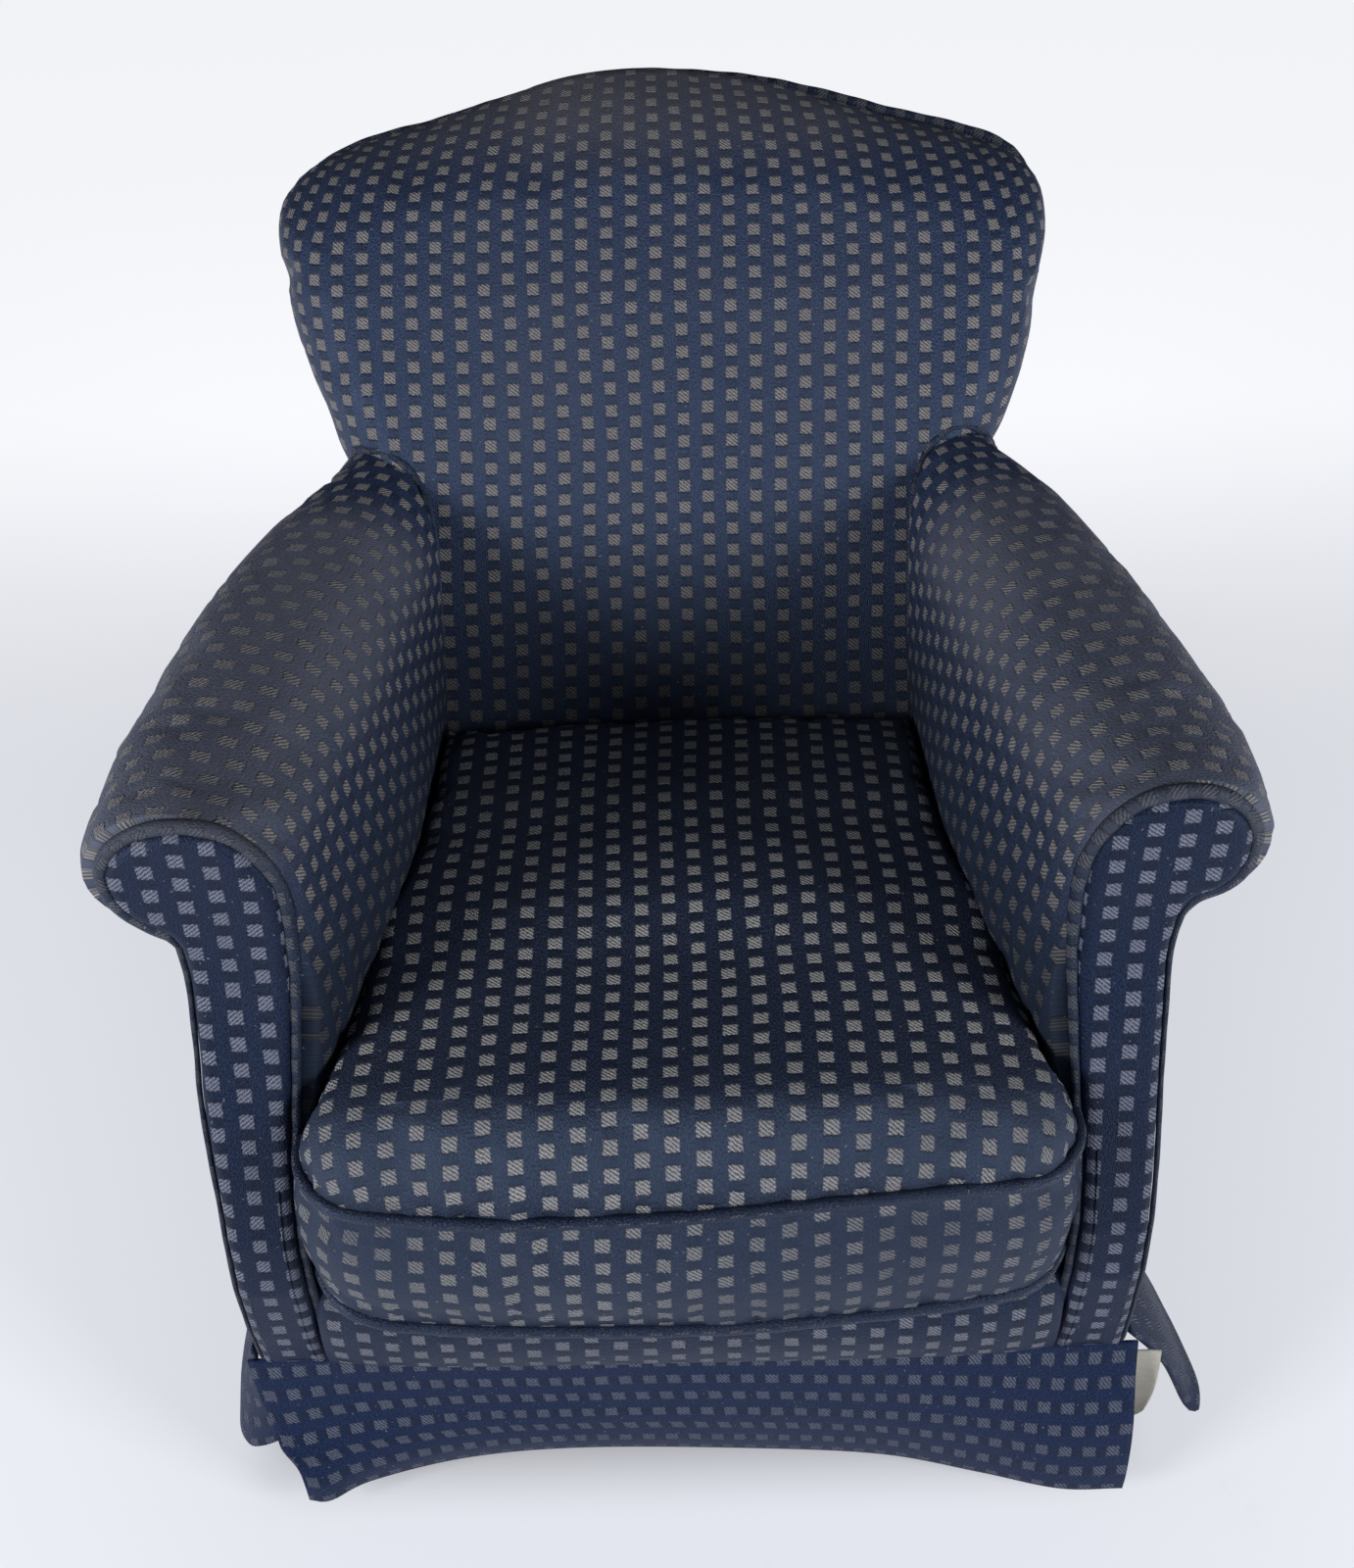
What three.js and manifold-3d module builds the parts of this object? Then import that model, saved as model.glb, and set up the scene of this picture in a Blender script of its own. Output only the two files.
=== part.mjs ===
// A small scroll-arm easy chair with a camel back, a loose feather cushion and a four-panel skirt.
// Millimetres, +Z up, the floor is z = 0 and the origin lies under the middle of the chair. The chair
// faces -Y; right (+X) and left are named as seen from the front.
// Beech frame, coil-sprung seat, stuffed pads, fixed woven cover.
import * as THREE from "three";
import { ConvexGeometry } from "three/addons/geometries/ConvexGeometry.js";
import { mergeVertices } from "three/addons/utils/BufferGeometryUtils.js";
import Module from "manifold-3d";

const wasm = await Module();
wasm.setup();

// ---- Driving dimensions ----
const GAP = 1; // clearance between pieces that touch
const SKIRT_TOP = 144; // height of the skirt's top seam
const SKIRT_HEM = 17;
const CLOTH = 3; // thickness of a doubled cover cloth
const COVER = 5; // cover with its backing wadding
const BOARD = 25; // frame timber
const RAIL_BOTTOM = 105.5;
const RAIL_TOP = 185;
const PAD_BOTTOM = 190; // where the stuffed pads are tacked down, just above the rails
const DECK_TOP = 245; // sprung platform under the loose cushion
const WELT = 4; // radius of the piping
const FACING_DEPTH = 10;
const NECK = 506; // underside of the arm scroll, where the outside arm begins
const ARM_INSIDE = 250; // half width between the arms at the front
const ARM_TOP = 604;
const BACK_INSET = 14; // edge stuffing beside the back frame
const POST_DEPTH = 32;
const CUSHION = { front: -405, back: 22, frontHalf: 242, backHalf: 186, low: 258, high: 362 };

// Depth of a surface at each height, as [height, depth] pairs.
const FACING_FRONT = [
  [100, -346], [150, -356], [200, -366], [250, -371], [293, -366], [357, -345],
  [400, -330], [440, -317], [480, -303], [520, -300], [650, -300],
];
const BACK_FRONT = [
  [100, 24], [190, 30], [330, 42], [424, 62], [500, 103], [580, 143], [672, 185],
  [740, 225], [790, 262], [830, 300], [858, 337], [872, 366], [900, 396],
];
const BACK_REAR = [[100, 240], [300, 245], [450, 272], [600, 318], [750, 366], [850, 404], [900, 408]];

// Half width of the outside of the base, and of the arms, at each depth.
const BASE_HALF = [[-400, 324], [250, 293]];
const ARM_INNER = [[-400, 250], [-285, 250], [160, 196], [300, 179]];
const ARM_OUTER = [
  [-400, 362], [-285, 364], [-180, 370], [-60, 358], [20, 342], [90, 321], [160, 289], [300, 264],
];
const ARM_RISE = [[-400, 0], [-285, 0], [160, 30], [300, 36]];

// Right half of the camel back, seen from the front, from its waist up to the middle of the crest.
const CAMEL = [
  [276, 608], [286, 628], [296, 651], [306, 682], [316, 716], [321, 748], [323, 768], [319, 786],
  [308, 799], [291, 811], [268, 820], [237, 829], [196, 840], [158, 849], [110, 861], [68, 869],
  [35, 873],
];
// Right arm facing: up the outside, over the scroll and down beside the cushion.
const FACING = [
  [318, 150], [314, 230], [316, 300], [318, 400], [318, 480], [322, 503], [334, 515], [350, 526],
  [359, 542], [360, 560], [353, 576], [344, 587], [330, 595], [316, 599], [302, 598], [286, 593],
  [273, 586], [264, 576], [257, 562], [253, 545], [252, 530], [253, 500], [255, 465], [260, 405],
  [265, 345], [266, 295], [265, 240], [265, 178], [263, 150],
];

// ---- Small helpers ----
const at = (table, t) => {
  const i = Math.max(1, table.findIndex(([u]) => u >= t));
  const [[u0, v0], [u1, v1]] = [table[i - 1], table[i]];
  return v0 + ((v1 - v0) * (t - u0)) / (u1 - u0);
};
const facingFront = (z) => at(FACING_FRONT, z);
const backFront = (z) => at(BACK_FRONT, z);
const backRear = (z) => at(BACK_REAR, z);
const baseHalf = (y) => at(BASE_HALF, y);
const mirrored = (points) => points.map(([x, z]) => [-x, z]).reverse();

const extrude = (points, depth, options = {}) =>
  new THREE.ExtrudeGeometry(new THREE.Shape(points.map(([u, v]) => new THREE.Vector2(u, v))), {
    depth,
    bevelEnabled: false,
    ...options,
  });

// Outlines swept along an axis: (y, z) along X, (x, z) along Y, and (x, y) along Z.
const sweepX = (points, x0, x1) =>
  extrude(points, x1 - x0).applyMatrix4(
    new THREE.Matrix4().set(0, 0, 1, x0, 1, 0, 0, 0, 0, 1, 0, 0, 0, 0, 0, 1),
  );
const sweepY = (points, y0, y1, steps = 1) =>
  extrude(points, y1 - y0, { steps }).applyMatrix4(
    new THREE.Matrix4().set(1, 0, 0, 0, 0, 0, -1, y1, 0, 1, 0, 0, 0, 0, 0, 1),
  );
const sweepZ = (points, z0, z1) => extrude(points, z1 - z0).translate(0, 0, z0);
const box = (x0, x1, y0, y1, z0, z1, cuts = [1, 1, 1]) =>
  new THREE.BoxGeometry(x1 - x0, y1 - y0, z1 - z0, ...cuts).translate(
    (x0 + x1) / 2,
    (y0 + y1) / 2,
    (z0 + z1) / 2,
  );

function reshape(geometry, move) {
  const p = geometry.attributes.position;
  for (let i = 0; i < p.count; i++) p.setXYZ(i, ...move(p.getX(i), p.getY(i), p.getZ(i)));
  geometry.computeVertexNormals();
  return geometry;
}

// The same piece on the other side of the chair, its faces turned back to point out.
function otherSide(geometry) {
  const g = (geometry.index ? geometry.toNonIndexed() : geometry.clone()).scale(-1, 1, 1);
  const p = g.attributes.position;
  for (let i = 0; i < p.count; i += 3) {
    const [b, c] = [i + 1, i + 2].map((k) => [p.getX(k), p.getY(k), p.getZ(k)]);
    p.setXYZ(i + 1, ...c);
    p.setXYZ(i + 2, ...b);
  }
  g.computeVertexNormals();
  return g;
}

function solid(geometry) {
  const g = geometry.clone();
  for (const name of ["normal", "uv"]) g.deleteAttribute(name);
  const merged = mergeVertices(g, 1e-4);
  return new wasm.Manifold(
    new wasm.Mesh({
      numProp: 3,
      vertProperties: merged.attributes.position.array,
      triVerts: new Uint32Array(merged.index.array),
    }),
  );
}

function shell(made) {
  const { vertProperties, triVerts } = made.getMesh();
  const g = new THREE.BufferGeometry();
  g.setAttribute("position", new THREE.BufferAttribute(vertProperties, 3));
  g.setIndex(new THREE.BufferAttribute(triVerts, 1));
  g.computeVertexNormals();
  return g;
}
const common = (a, b) => shell(solid(a).intersect(solid(b)));
const cut = (a, ...tools) => shell(tools.reduce((s, t) => s.subtract(solid(t)), solid(a)));
const join = (...all) => shell(all.map(solid).reduce((s, t) => s.add(t)));

// A slab between two (y, z) surfaces, from low to high, running across the chair from x0 to x1.
function slab(front, rear, low, high, x0, x1, levels = 16) {
  const heights = Array.from({ length: levels + 1 }, (_, i) => low + ((high - low) * i) / levels);
  const points = [
    ...heights.map((z) => [front(z), z]),
    ...heights.reverse().map((z) => [rear(z), z]),
  ];
  return sweepX(points, x0, x1);
}

function ring(radius, sides) {
  return Array.from({ length: sides }, (_, i) => {
    const a = (2 * Math.PI * i) / sides;
    return [radius * Math.cos(a), radius * Math.sin(a)];
  });
}
const tube = (path, radius, steps, sides) =>
  extrude(ring(radius, sides), 1, { steps, extrudePath: path });
const smooth = (points) =>
  new THREE.CatmullRomCurve3(refined(points).map((p) => new THREE.Vector3(...p)), false, "centripetal");

// Long straight runs get points of their own, so that a curve through them stays straight.
function refined(points, longest = 40) {
  return points.flatMap((p, i) => {
    const next = points[i + 1];
    if (!next) return [p];
    const pieces = Math.ceil(Math.hypot(...p.map((v, k) => next[k] - v)) / longest);
    return Array.from({ length: pieces }, (_, j) => p.map((v, k) => v + ((next[k] - v) * j) / pieces));
  });
}

// An anticlockwise outline drawn in by a distance, each corner along its own normal.
function drawnIn(points, distance) {
  return points.map(([x, z], i) => {
    const [x0, z0] = points.at(i - 1);
    const [x1, z1] = points[(i + 1) % points.length];
    const length = Math.hypot(x1 - x0, z1 - z0);
    return [x - ((z1 - z0) / length) * distance, z + ((x1 - x0) / length) * distance];
  });
}

// ---- Materials ----
const material = (color, roughness, metalness = 0) =>
  new THREE.MeshStandardMaterial({ color, roughness, metalness });
const FABRIC = { color: 0x2a3350, roughness: 0.85 };
const cloth = () => material(FABRIC.color, FABRIC.roughness);
const wood = () => material(0xb08a5c, 0.6);
const jute = () => material(0x8d7249, 0.9);
const calico = () => material(0xd6cdb6, 0.9);
const steel = () => material(0x8b8d90, 0.4, 0.9);

const chair = new THREE.Group();
function add(name, geometry, finish) {
  const mesh = new THREE.Mesh(geometry, finish());
  mesh.name = name;
  chair.add(mesh);
}
function addPair(name, geometry, finish) {
  add(name + "_right", geometry, finish);
  add(name + "_left", otherSide(geometry), finish);
}

// ---- Frame: seat rails, front stumps, back posts ----
const STUMP = { inner: 277, outer: 312 };
const POST = { inner: 233, outer: 261, lean: 13 };
const BACK_RAIL_REAR = 232;
const SIDE_RAIL_FRONT = -304;

add("seat_rail_front", box(-STUMP.inner + GAP, STUMP.inner - GAP, -338, -310, RAIL_BOTTOM, RAIL_TOP), wood);
add(
  "seat_rail_back",
  box(
    -POST.inner + 3 * GAP, POST.inner - 3 * GAP,
    BACK_RAIL_REAR - BOARD, BACK_RAIL_REAR,
    RAIL_BOTTOM, RAIL_TOP,
  ),
  wood,
);
addPair(
  "seat_rail",
  reshape(box(0, BOARD, SIDE_RAIL_FRONT, BACK_RAIL_REAR, RAIL_BOTTOM, RAIL_TOP), (x, y, z) => [
    baseHalf(y) - COVER - GAP - BOARD + x,
    y,
    z,
  ]),
  wood,
);

// The stump is one board: a straight stem with a round head that carries the scroll.
const STUMP_HEAD = { x: 308, z: 548, r: 25 };
const headArc = Array.from({ length: 11 }, (_, i) => {
  const a = (-50 + (i * 280) / 10) * (Math.PI / 180);
  return [STUMP_HEAD.x + STUMP_HEAD.r * Math.cos(a), STUMP_HEAD.z + STUMP_HEAD.r * Math.sin(a)];
});
const stumpOutline = [
  [STUMP.inner, RAIL_BOTTOM], [STUMP.outer, RAIL_BOTTOM], [STUMP.outer, 508],
  ...headArc, [STUMP.inner, 508],
];
const stumpFront = (z) => facingFront(z) + FACING_DEPTH + GAP;
addPair(
  "arm_stump",
  common(
    slab(stumpFront, (z) => stumpFront(z) + BOARD, 100, 580, 270, 340, 24),
    sweepY(stumpOutline, -400, -200),
  ),
  wood,
);

// Back posts lean in towards the waist and rake back with the outside of the back.
const postRear = (z) => backRear(z) - 8;
const postFront = (z) => postRear(z) - POST_DEPTH;
const leanIn = (z) => -POST.lean * THREE.MathUtils.smoothstep(z, RAIL_TOP + 75, 600);
const POST_TOP = 740;
addPair(
  "back_post",
  reshape(slab(postFront, postRear, RAIL_BOTTOM, POST_TOP, POST.inner, POST.outer), (x, y, z) => [
    x + leanIn(z),
    y,
    z,
  ]),
  wood,
);

// ---- Frame: rails of the arms and of the back ----
// Everything inside an arm narrows and rises towards the back together.
function alongArm(x, y, z) {
  const inner = at(ARM_INNER, y);
  const narrowing = (at(ARM_OUTER, y) - inner) / (ARM_OUTER[0][1] - ARM_INSIDE);
  const lift = 1 + at(ARM_RISE, y) / (ARM_TOP - PAD_BOTTOM);
  return [inner + (x - ARM_INSIDE) * narrowing, y, PAD_BOTTOM + (z - PAD_BOTTOM) * lift];
}
const armRun = (points) => reshape(sweepY(points, -380, 290, 16), alongArm);
const rectangle = (x0, x1, z0, z1, grow = 0) => [
  [x0 - grow, z0 - grow], [x1 + grow, z0 - grow], [x1 + grow, z1 + grow], [x0 - grow, z1 + grow],
];
const ARM_RAIL = [288, 326, 545, 566];
const ARM_TACK_RAIL = [279, 293, 214, 242];
const betweenPosts = slab(
  (z) => stumpFront(z) + BOARD + GAP,
  (z) => postFront(z) - GAP,
  150, 640, 150, 420, 24,
);
addPair("arm_rail", common(armRun(rectangle(...ARM_RAIL)), betweenPosts), wood);
addPair("arm_tack_rail", common(armRun(rectangle(...ARM_TACK_RAIL)), betweenPosts), wood);
const armRailSlots = [ARM_RAIL, ARM_TACK_RAIL].map((r) => armRun(rectangle(...r, 2)));

// The whole back seen from the front: straight below the waist, camel-shaped above it.
const BACK_HALF = 279;
const CREST = [0, 875];
function backOutline(inset, low) {
  const half = [[BACK_HALF, low], [BACK_HALF, 596], ...CAMEL];
  return drawnIn([...half, CREST, ...mirrored(half)], inset);
}

// The crest rail follows the camel line, a hand's breadth deep, and stands on the posts.
const crestArch = [
  [-400, 400], [400, 400], [400, POST_TOP + GAP], [250, POST_TOP + GAP], [170, 778], [0, 800],
  [-170, 778], [-250, POST_TOP + GAP], [-400, POST_TOP + GAP],
];
const crestBlank = common(
  slab((z) => postRear(z) - BOARD, postRear, 700, 880, -330, 330, 12),
  sweepY(backOutline(BACK_INSET + 4, 500), 200, 460),
);
add("crest_rail", cut(crestBlank, sweepY(crestArch, 150, 500)), wood);
add(
  "back_tack_rail",
  slab((z) => postRear(z) - BOARD, postRear, 214, 254, -POST.inner + 3 * GAP, POST.inner - 3 * GAP, 2),
  wood,
);

// ---- Frame: corner blocks and feet ----
const BLOCK = 62;
const FOOT = { top: 34, bottom: 29, height: RAIL_BOTTOM - 0.5 };
for (const [name, side, x, y, sign] of [
  ["front_right", 1, STUMP.inner - GAP, -309, 1],
  ["front_left", -1, STUMP.inner - GAP, -309, 1],
  ["back_right", 1, POST.inner - 3 * GAP, BACK_RAIL_REAR - BOARD - GAP, -1],
  ["back_left", -1, POST.inner - 3 * GAP, BACK_RAIL_REAR - BOARD - GAP, -1],
]) {
  const corner = [[x, y], [x - BLOCK, y], [x, y + sign * BLOCK]];
  const block = sweepZ(corner, RAIL_TOP - 48, RAIL_TOP - 4);
  add("corner_block_" + name, side > 0 ? block : otherSide(block), wood);
  const foot = new THREE.CylinderGeometry(FOOT.top, FOOT.bottom, FOOT.height, 4)
    .rotateY(Math.PI / 4)
    .rotateX(Math.PI / 2)
    .translate(side * (x - 4), y + sign * -4, FOOT.height / 2);
  add("foot_" + name, foot, wood);
}

// ---- Seat: webbing, springs, hessian, platform, border ----
// Interlaced webbing, joined where the strips cross.
const STRIP = 50;
function webbing(across, up, place) {
  const strips = [
    ...across.spots.map((u) => [u - STRIP / 2, u + STRIP / 2, across.from, across.to]),
    ...up.spots.map((v) => [up.from, up.to, v - STRIP / 2, v + STRIP / 2]),
  ];
  return join(...strips.map(([u0, u1, v0, v1]) => place(u0, u1, v0, v1)));
}
add(
  "seat_webbing",
  webbing(
    { spots: [-160, -80, 0, 80, 160], from: -336, to: 230 },
    { spots: [-240, -120, 0, 120], from: -286, to: 286 },
    (x0, x1, y0, y1) => box(x0, x1, y0, y1, RAIL_BOTTOM - 2.6, RAIL_BOTTOM - 0.6),
  ),
  jute,
);

class Spring extends THREE.Curve {
  getPoint(t, target = new THREE.Vector3()) {
    const turn = 2 * Math.PI * SPRING.turns * t;
    const radius = SPRING.waist + (SPRING.end - SPRING.waist) * (2 * t - 1) ** 2;
    return target.set(
      radius * Math.cos(turn),
      radius * Math.sin(turn),
      SPRING.low + (SPRING.high - SPRING.low) * t,
    );
  }
}
const SPRING = { turns: 4, waist: 26, end: 38, wire: 1.9, low: RAIL_BOTTOM + 2.5, high: 203 };
[-262, -160, -58].forEach((y, row) =>
  [-125, 0, 125].forEach((x, column) =>
    add(
      "spring_" + (row * 3 + column + 1),
      tube(new Spring(), SPRING.wire, SPRING.turns * 8, 5).translate(x, y, 0),
      steel,
    ),
  ),
);

const HESSIAN = 206.5;
const seatPlan = (inset, front, back) => {
  const half = [[at(ARM_INNER, front) - inset, front], [at(ARM_INNER, back) - inset, back]];
  return [...half, ...half.map(([x, y]) => [-x, y]).reverse()];
};
add("seat_hessian", sweepZ(seatPlan(GAP * 2, -338, 20), HESSIAN, HESSIAN + 2), jute);
add("seat_platform", sweepZ(seatPlan(GAP * 2, -339, 20), HESSIAN + 3, DECK_TOP), calico);

// A stuffed lip in front of the platform, rounded above and below.
const BORDER_HALF = 261;
const lip = [
  [-341, 150], [-356, 151], [-370, 160], [-378, 178], [-380, 200],
  [-378, 222], [-370, 238], [-358, 244], [-341, 244],
];
add("front_border", sweepX(lip, -BORDER_HALF, BORDER_HALF), cloth);

// ---- Loose seat cushion with its two pipings ----
// Plan of the cushion, drawn in from its sides by inset and round at the corners.
function cushionPlan(inset) {
  const { front, back, frontHalf, backHalf } = CUSHION;
  const r = Math.max(26 - inset, 8);
  const arc = (cx, cy, from) =>
    [0, 1, 2, 3].map((i) => {
      const a = from + (i * Math.PI) / 6;
      return [cx + r * Math.cos(a), cy + r * Math.sin(a)];
    });
  const half = [
    ...arc(frontHalf - inset - r, front + inset + r, -Math.PI / 2),
    ...arc(backHalf - inset - r, back - inset - r, 0),
  ];
  return [...half, ...mirrored(half)];
}
// The feather filling crowns the top; the underside lies almost flat on the platform.
const CUSHION_RINGS = [
  [70, CUSHION.low - 11], [24, CUSHION.low - 7], [0, CUSHION.low], [0, CUSHION.high],
  [8, 386], [24, 409], [52, 428], [95, 441], [140, 446],
];
const cushionSkin = CUSHION_RINGS.flatMap(([inset, z]) =>
  cushionPlan(inset).map(([x, y]) => new THREE.Vector3(x, y, z)),
);
add("seat_cushion", new ConvexGeometry(cushionSkin), cloth);
for (const [name, height] of [["top", CUSHION.high - 2], ["bottom", CUSHION.low + 2]]) {
  const around = cushionPlan(-WELT - 2 * GAP);
  const loop = [...around.slice(8), ...around.slice(0, 8)].map(([x, y]) => [x, y, height]);
  add("cushion_piping_" + name, tube(smooth(loop), WELT, 56, 6), cloth);
}

// ---- Arms: stuffed pad, outside arm, facing and its piping ----
// The pad is a hook in section: up the inside, over the scroll, and round to the neck.
const hook = [
  [263, PAD_BOTTOM], [263, 300], [256, 400], [251, 470], [252, 530], [257, 558], [266, 578], [280, 594],
  [300, 603], [320, 603], [340, 594], [354, 578], [361, 558], [359, 540], [350, 526], [336, 514], [324, 509],
  [324, 514], [334, 522], [338, 532], [338, 578], [275, 578], [275, PAD_BOTTOM],
];
addPair(
  "arm_pad",
  common(
    armRun(hook),
    slab((z) => facingFront(z) + FACING_DEPTH + GAP, (z) => backFront(z) - 10, 150, 650, 150, 420, 24),
  ),
  cloth,
);

const outsideArmRear = (z) => backRear(z) - 2;
addPair(
  "outside_arm",
  common(
    reshape(box(-COVER, 0, -390, 330, SKIRT_TOP + 2, NECK, [1, 12, 1]), (x, y, z) => [
      baseHalf(y) + x,
      y,
      z,
    ]),
    slab((z) => facingFront(z) + FACING_DEPTH + GAP, outsideArmRear, 140, 520, 200, 400, 20),
  ),
  cloth,
);

const FACING_EDGE = 6; // the facing stops short of the seam line to leave room for the piping
addPair(
  "arm_facing",
  common(
    slab(facingFront, (z) => facingFront(z) + FACING_DEPTH, 150, 620, 236, 380, 24),
    sweepY(drawnIn(FACING, FACING_EDGE), -420, -200),
  ),
  cloth,
);
const pipingPath = FACING.slice(4, 25).map(([x, z]) => [x, facingFront(z) + FACING_DEPTH / 2, z]);
addPair("facing_piping", tube(smooth(pipingPath), WELT, 44, 6), cloth);

// Piping in the joint between each arm and the inside back.
const armBackPath = [[269, 634], [237, 622], [214, 596], [201, 560], [196, 520], [197, 470], [200, 436]].map(
  ([x, z]) => [x, backFront(z) - 5, z],
);
addPair("arm_back_piping", tube(smooth(armBackPath), WELT, 20, 6), cloth);

// ---- Back: stuffed inside back, edge roll, webbing, outside back ----
const INSIDE_BACK_SHARE = 0.38; // of the whole thickness of the back
const padRear = (z) => backFront(z) + INSIDE_BACK_SHARE * (backRear(z) - backFront(z));
const BACK_LEVELS = 26;
const insideBack = common(
  slab(backFront, padRear, PAD_BOTTOM, 890, -340, 340, BACK_LEVELS),
  sweepY(backOutline(0, PAD_BOTTOM), -50, 460),
);
add("inside_back", cut(insideBack, ...armRailSlots, ...armRailSlots.map(otherSide)), cloth);

const edgeRoll = cut(
  common(
    slab((z) => padRear(z) + GAP, (z) => backRear(z) - GAP, PAD_BOTTOM, 890, -340, 340, BACK_LEVELS),
    sweepY(backOutline(0, PAD_BOTTOM), -50, 460),
  ),
  sweepY(backOutline(BACK_INSET, PAD_BOTTOM - 40), -80, 500),
);
add("back_edge_roll", edgeRoll, cloth);

add(
  "back_webbing",
  reshape(
    webbing(
      { spots: [-160, -80, 0, 80, 160], from: 222, to: 766 },
      { spots: [300, 380, 460, 540, 620, 700], from: -210, to: 210 },
      (x0, x1, z0, z1) => box(x0, x1, 0, 2, z0, z1, [1, 1, 6]),
    ),
    (x, y, z) => [x, postFront(z) - 4 + y, z],
  ),
  jute,
);

const outsideBackOutline = backOutline(WELT + 1, SKIRT_TOP + 2);
add(
  "outside_back",
  common(
    slab(backRear, (z) => backRear(z) + COVER, SKIRT_TOP + 2, 890, -340, 340, BACK_LEVELS),
    sweepY(outsideBackOutline, 180, 460),
  ),
  cloth,
);
const backPipingLine = refined(backOutline(-2, 150)).map(([x, z]) => [x, backRear(z) + WELT + 0.5, z]);
add("back_piping", tube(smooth(backPipingLine), WELT, 90, 6), cloth);

// ---- Skirt: four separate panels, open at the corners ----
// A panel hangs from its top seam and its lower corners curl away from the chair.
const SKIRT_FRONT = -348;
const SKIRT_REAR = 249;
const CURL = { front: 38, side: 46, back: 14 };
const drop = (z) => (SKIRT_TOP - z) / (SKIRT_TOP - SKIRT_HEM);
const corner = (u, half) => Math.abs(u / half) ** 4;
add(
  "skirt_front",
  reshape(box(-321, 321, -CLOTH, 0, SKIRT_HEM, SKIRT_TOP, [18, 1, 5]), (x, y, z) => [
    x * (1 - 0.05 * drop(z) * corner(x, 321)),
    SKIRT_FRONT + y - CURL.front * drop(z) ** 1.4 * corner(x, 321),
    z,
  ]),
  cloth,
);
add(
  "skirt_back",
  reshape(box(-290, 290, 0, CLOTH, SKIRT_HEM, SKIRT_TOP, [14, 1, 4]), (x, y, z) => [
    x,
    SKIRT_REAR + y + CURL.back * drop(z) ** 1.4 * corner(x, 290),
    z,
  ]),
  cloth,
);
const sideCurl = (y, z) => CURL.side * drop(z) ** 1.4 * (y < -50 ? corner(y + 50, 290) : 0);
addPair(
  "skirt",
  reshape(box(0, CLOTH, -340, 242, SKIRT_HEM, SKIRT_TOP, [1, 14, 4]), (x, y, z) => [
    baseHalf(y) + GAP + x + sideCurl(y, z),
    y,
    z,
  ]),
  cloth,
);
// The skirt's cotton lining has come loose at the right front corner and hangs out between the panels.
const LINING = { inner: 314, front: -337, low: 58, high: 134 };
add(
  "skirt_lining",
  reshape(box(0, 1, LINING.front, LINING.front + 2, LINING.low, LINING.high, [3, 1, 4]), (x, y, z) => [
    LINING.inner + x * (baseHalf(y) - GAP - LINING.inner + sideCurl(y, z)),
    y,
    z,
  ]),
  calico,
);

// Bottoming cloth under the seat, cut away round the feet.
const bottom = { half: 284, front: -334, back: 226, notch: 66 };
const bottomHalf = [
  [bottom.half - bottom.notch, bottom.front], [bottom.half - bottom.notch, bottom.front + bottom.notch],
  [bottom.half - 6, bottom.front + bottom.notch], [bottom.half - 22, bottom.back - bottom.notch - 14],
  [bottom.half - bottom.notch - 40, bottom.back - bottom.notch - 14],
  [bottom.half - bottom.notch - 40, bottom.back],
];
add(
  "bottoming_cloth",
  sweepZ([...bottomHalf, ...mirrored(bottomHalf)], RAIL_BOTTOM - 5, RAIL_BOTTOM - 3.5),
  jute,
);

export default chair;
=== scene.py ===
from math import cos, pi, radians, sin

import bmesh
import bpy
import numpy as np
from mathutils import Matrix, Vector


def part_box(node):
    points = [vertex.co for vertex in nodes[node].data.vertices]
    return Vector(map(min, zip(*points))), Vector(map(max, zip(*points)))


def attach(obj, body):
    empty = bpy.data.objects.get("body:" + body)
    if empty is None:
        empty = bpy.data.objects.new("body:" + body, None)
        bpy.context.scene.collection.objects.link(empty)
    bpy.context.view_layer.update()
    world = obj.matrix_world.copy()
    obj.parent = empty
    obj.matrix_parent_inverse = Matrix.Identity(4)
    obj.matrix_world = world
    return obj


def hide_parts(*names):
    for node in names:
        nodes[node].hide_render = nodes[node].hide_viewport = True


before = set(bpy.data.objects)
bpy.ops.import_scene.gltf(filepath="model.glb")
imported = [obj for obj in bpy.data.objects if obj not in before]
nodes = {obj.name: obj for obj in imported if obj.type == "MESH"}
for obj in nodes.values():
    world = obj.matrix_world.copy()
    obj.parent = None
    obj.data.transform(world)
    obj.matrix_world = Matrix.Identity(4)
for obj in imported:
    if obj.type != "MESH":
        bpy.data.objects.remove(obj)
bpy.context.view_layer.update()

bpy.ops.object.select_all(action="DESELECT")

# ---- Studio ----
# A pale paper floor that runs on out of sight, a low soft light in front on each side, and a little
# even light from the room, which is pale where it is seen. The camera looks down from in front.
camera_data = bpy.data.cameras.new("camera")
camera_data.lens = 37.125
camera_data.sensor_width = 36
camera = bpy.data.objects.new("camera", camera_data)
bpy.context.scene.collection.objects.link(camera)
bpy.context.scene.camera = camera
CAMERA_PLACE = (-0.0028, -1.088, 1.172)
TILT, YAW, LEAN = radians(35), radians(0.06), radians(1.16)
ahead = Vector((sin(YAW) * cos(TILT), cos(YAW) * cos(TILT), -sin(TILT)))
across = ahead.cross(Vector((0, 0, 1))).normalized()
above = across.cross(ahead)
across, above = across * cos(LEAN) - above * sin(LEAN), above * cos(LEAN) + across * sin(LEAN)
camera.matrix_world = (
    Matrix.Translation(CAMERA_PLACE)
    @ Matrix((across, above, -ahead)).transposed().to_4x4()
)

bpy.context.scene.view_settings.view_transform = "Standard"


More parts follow.
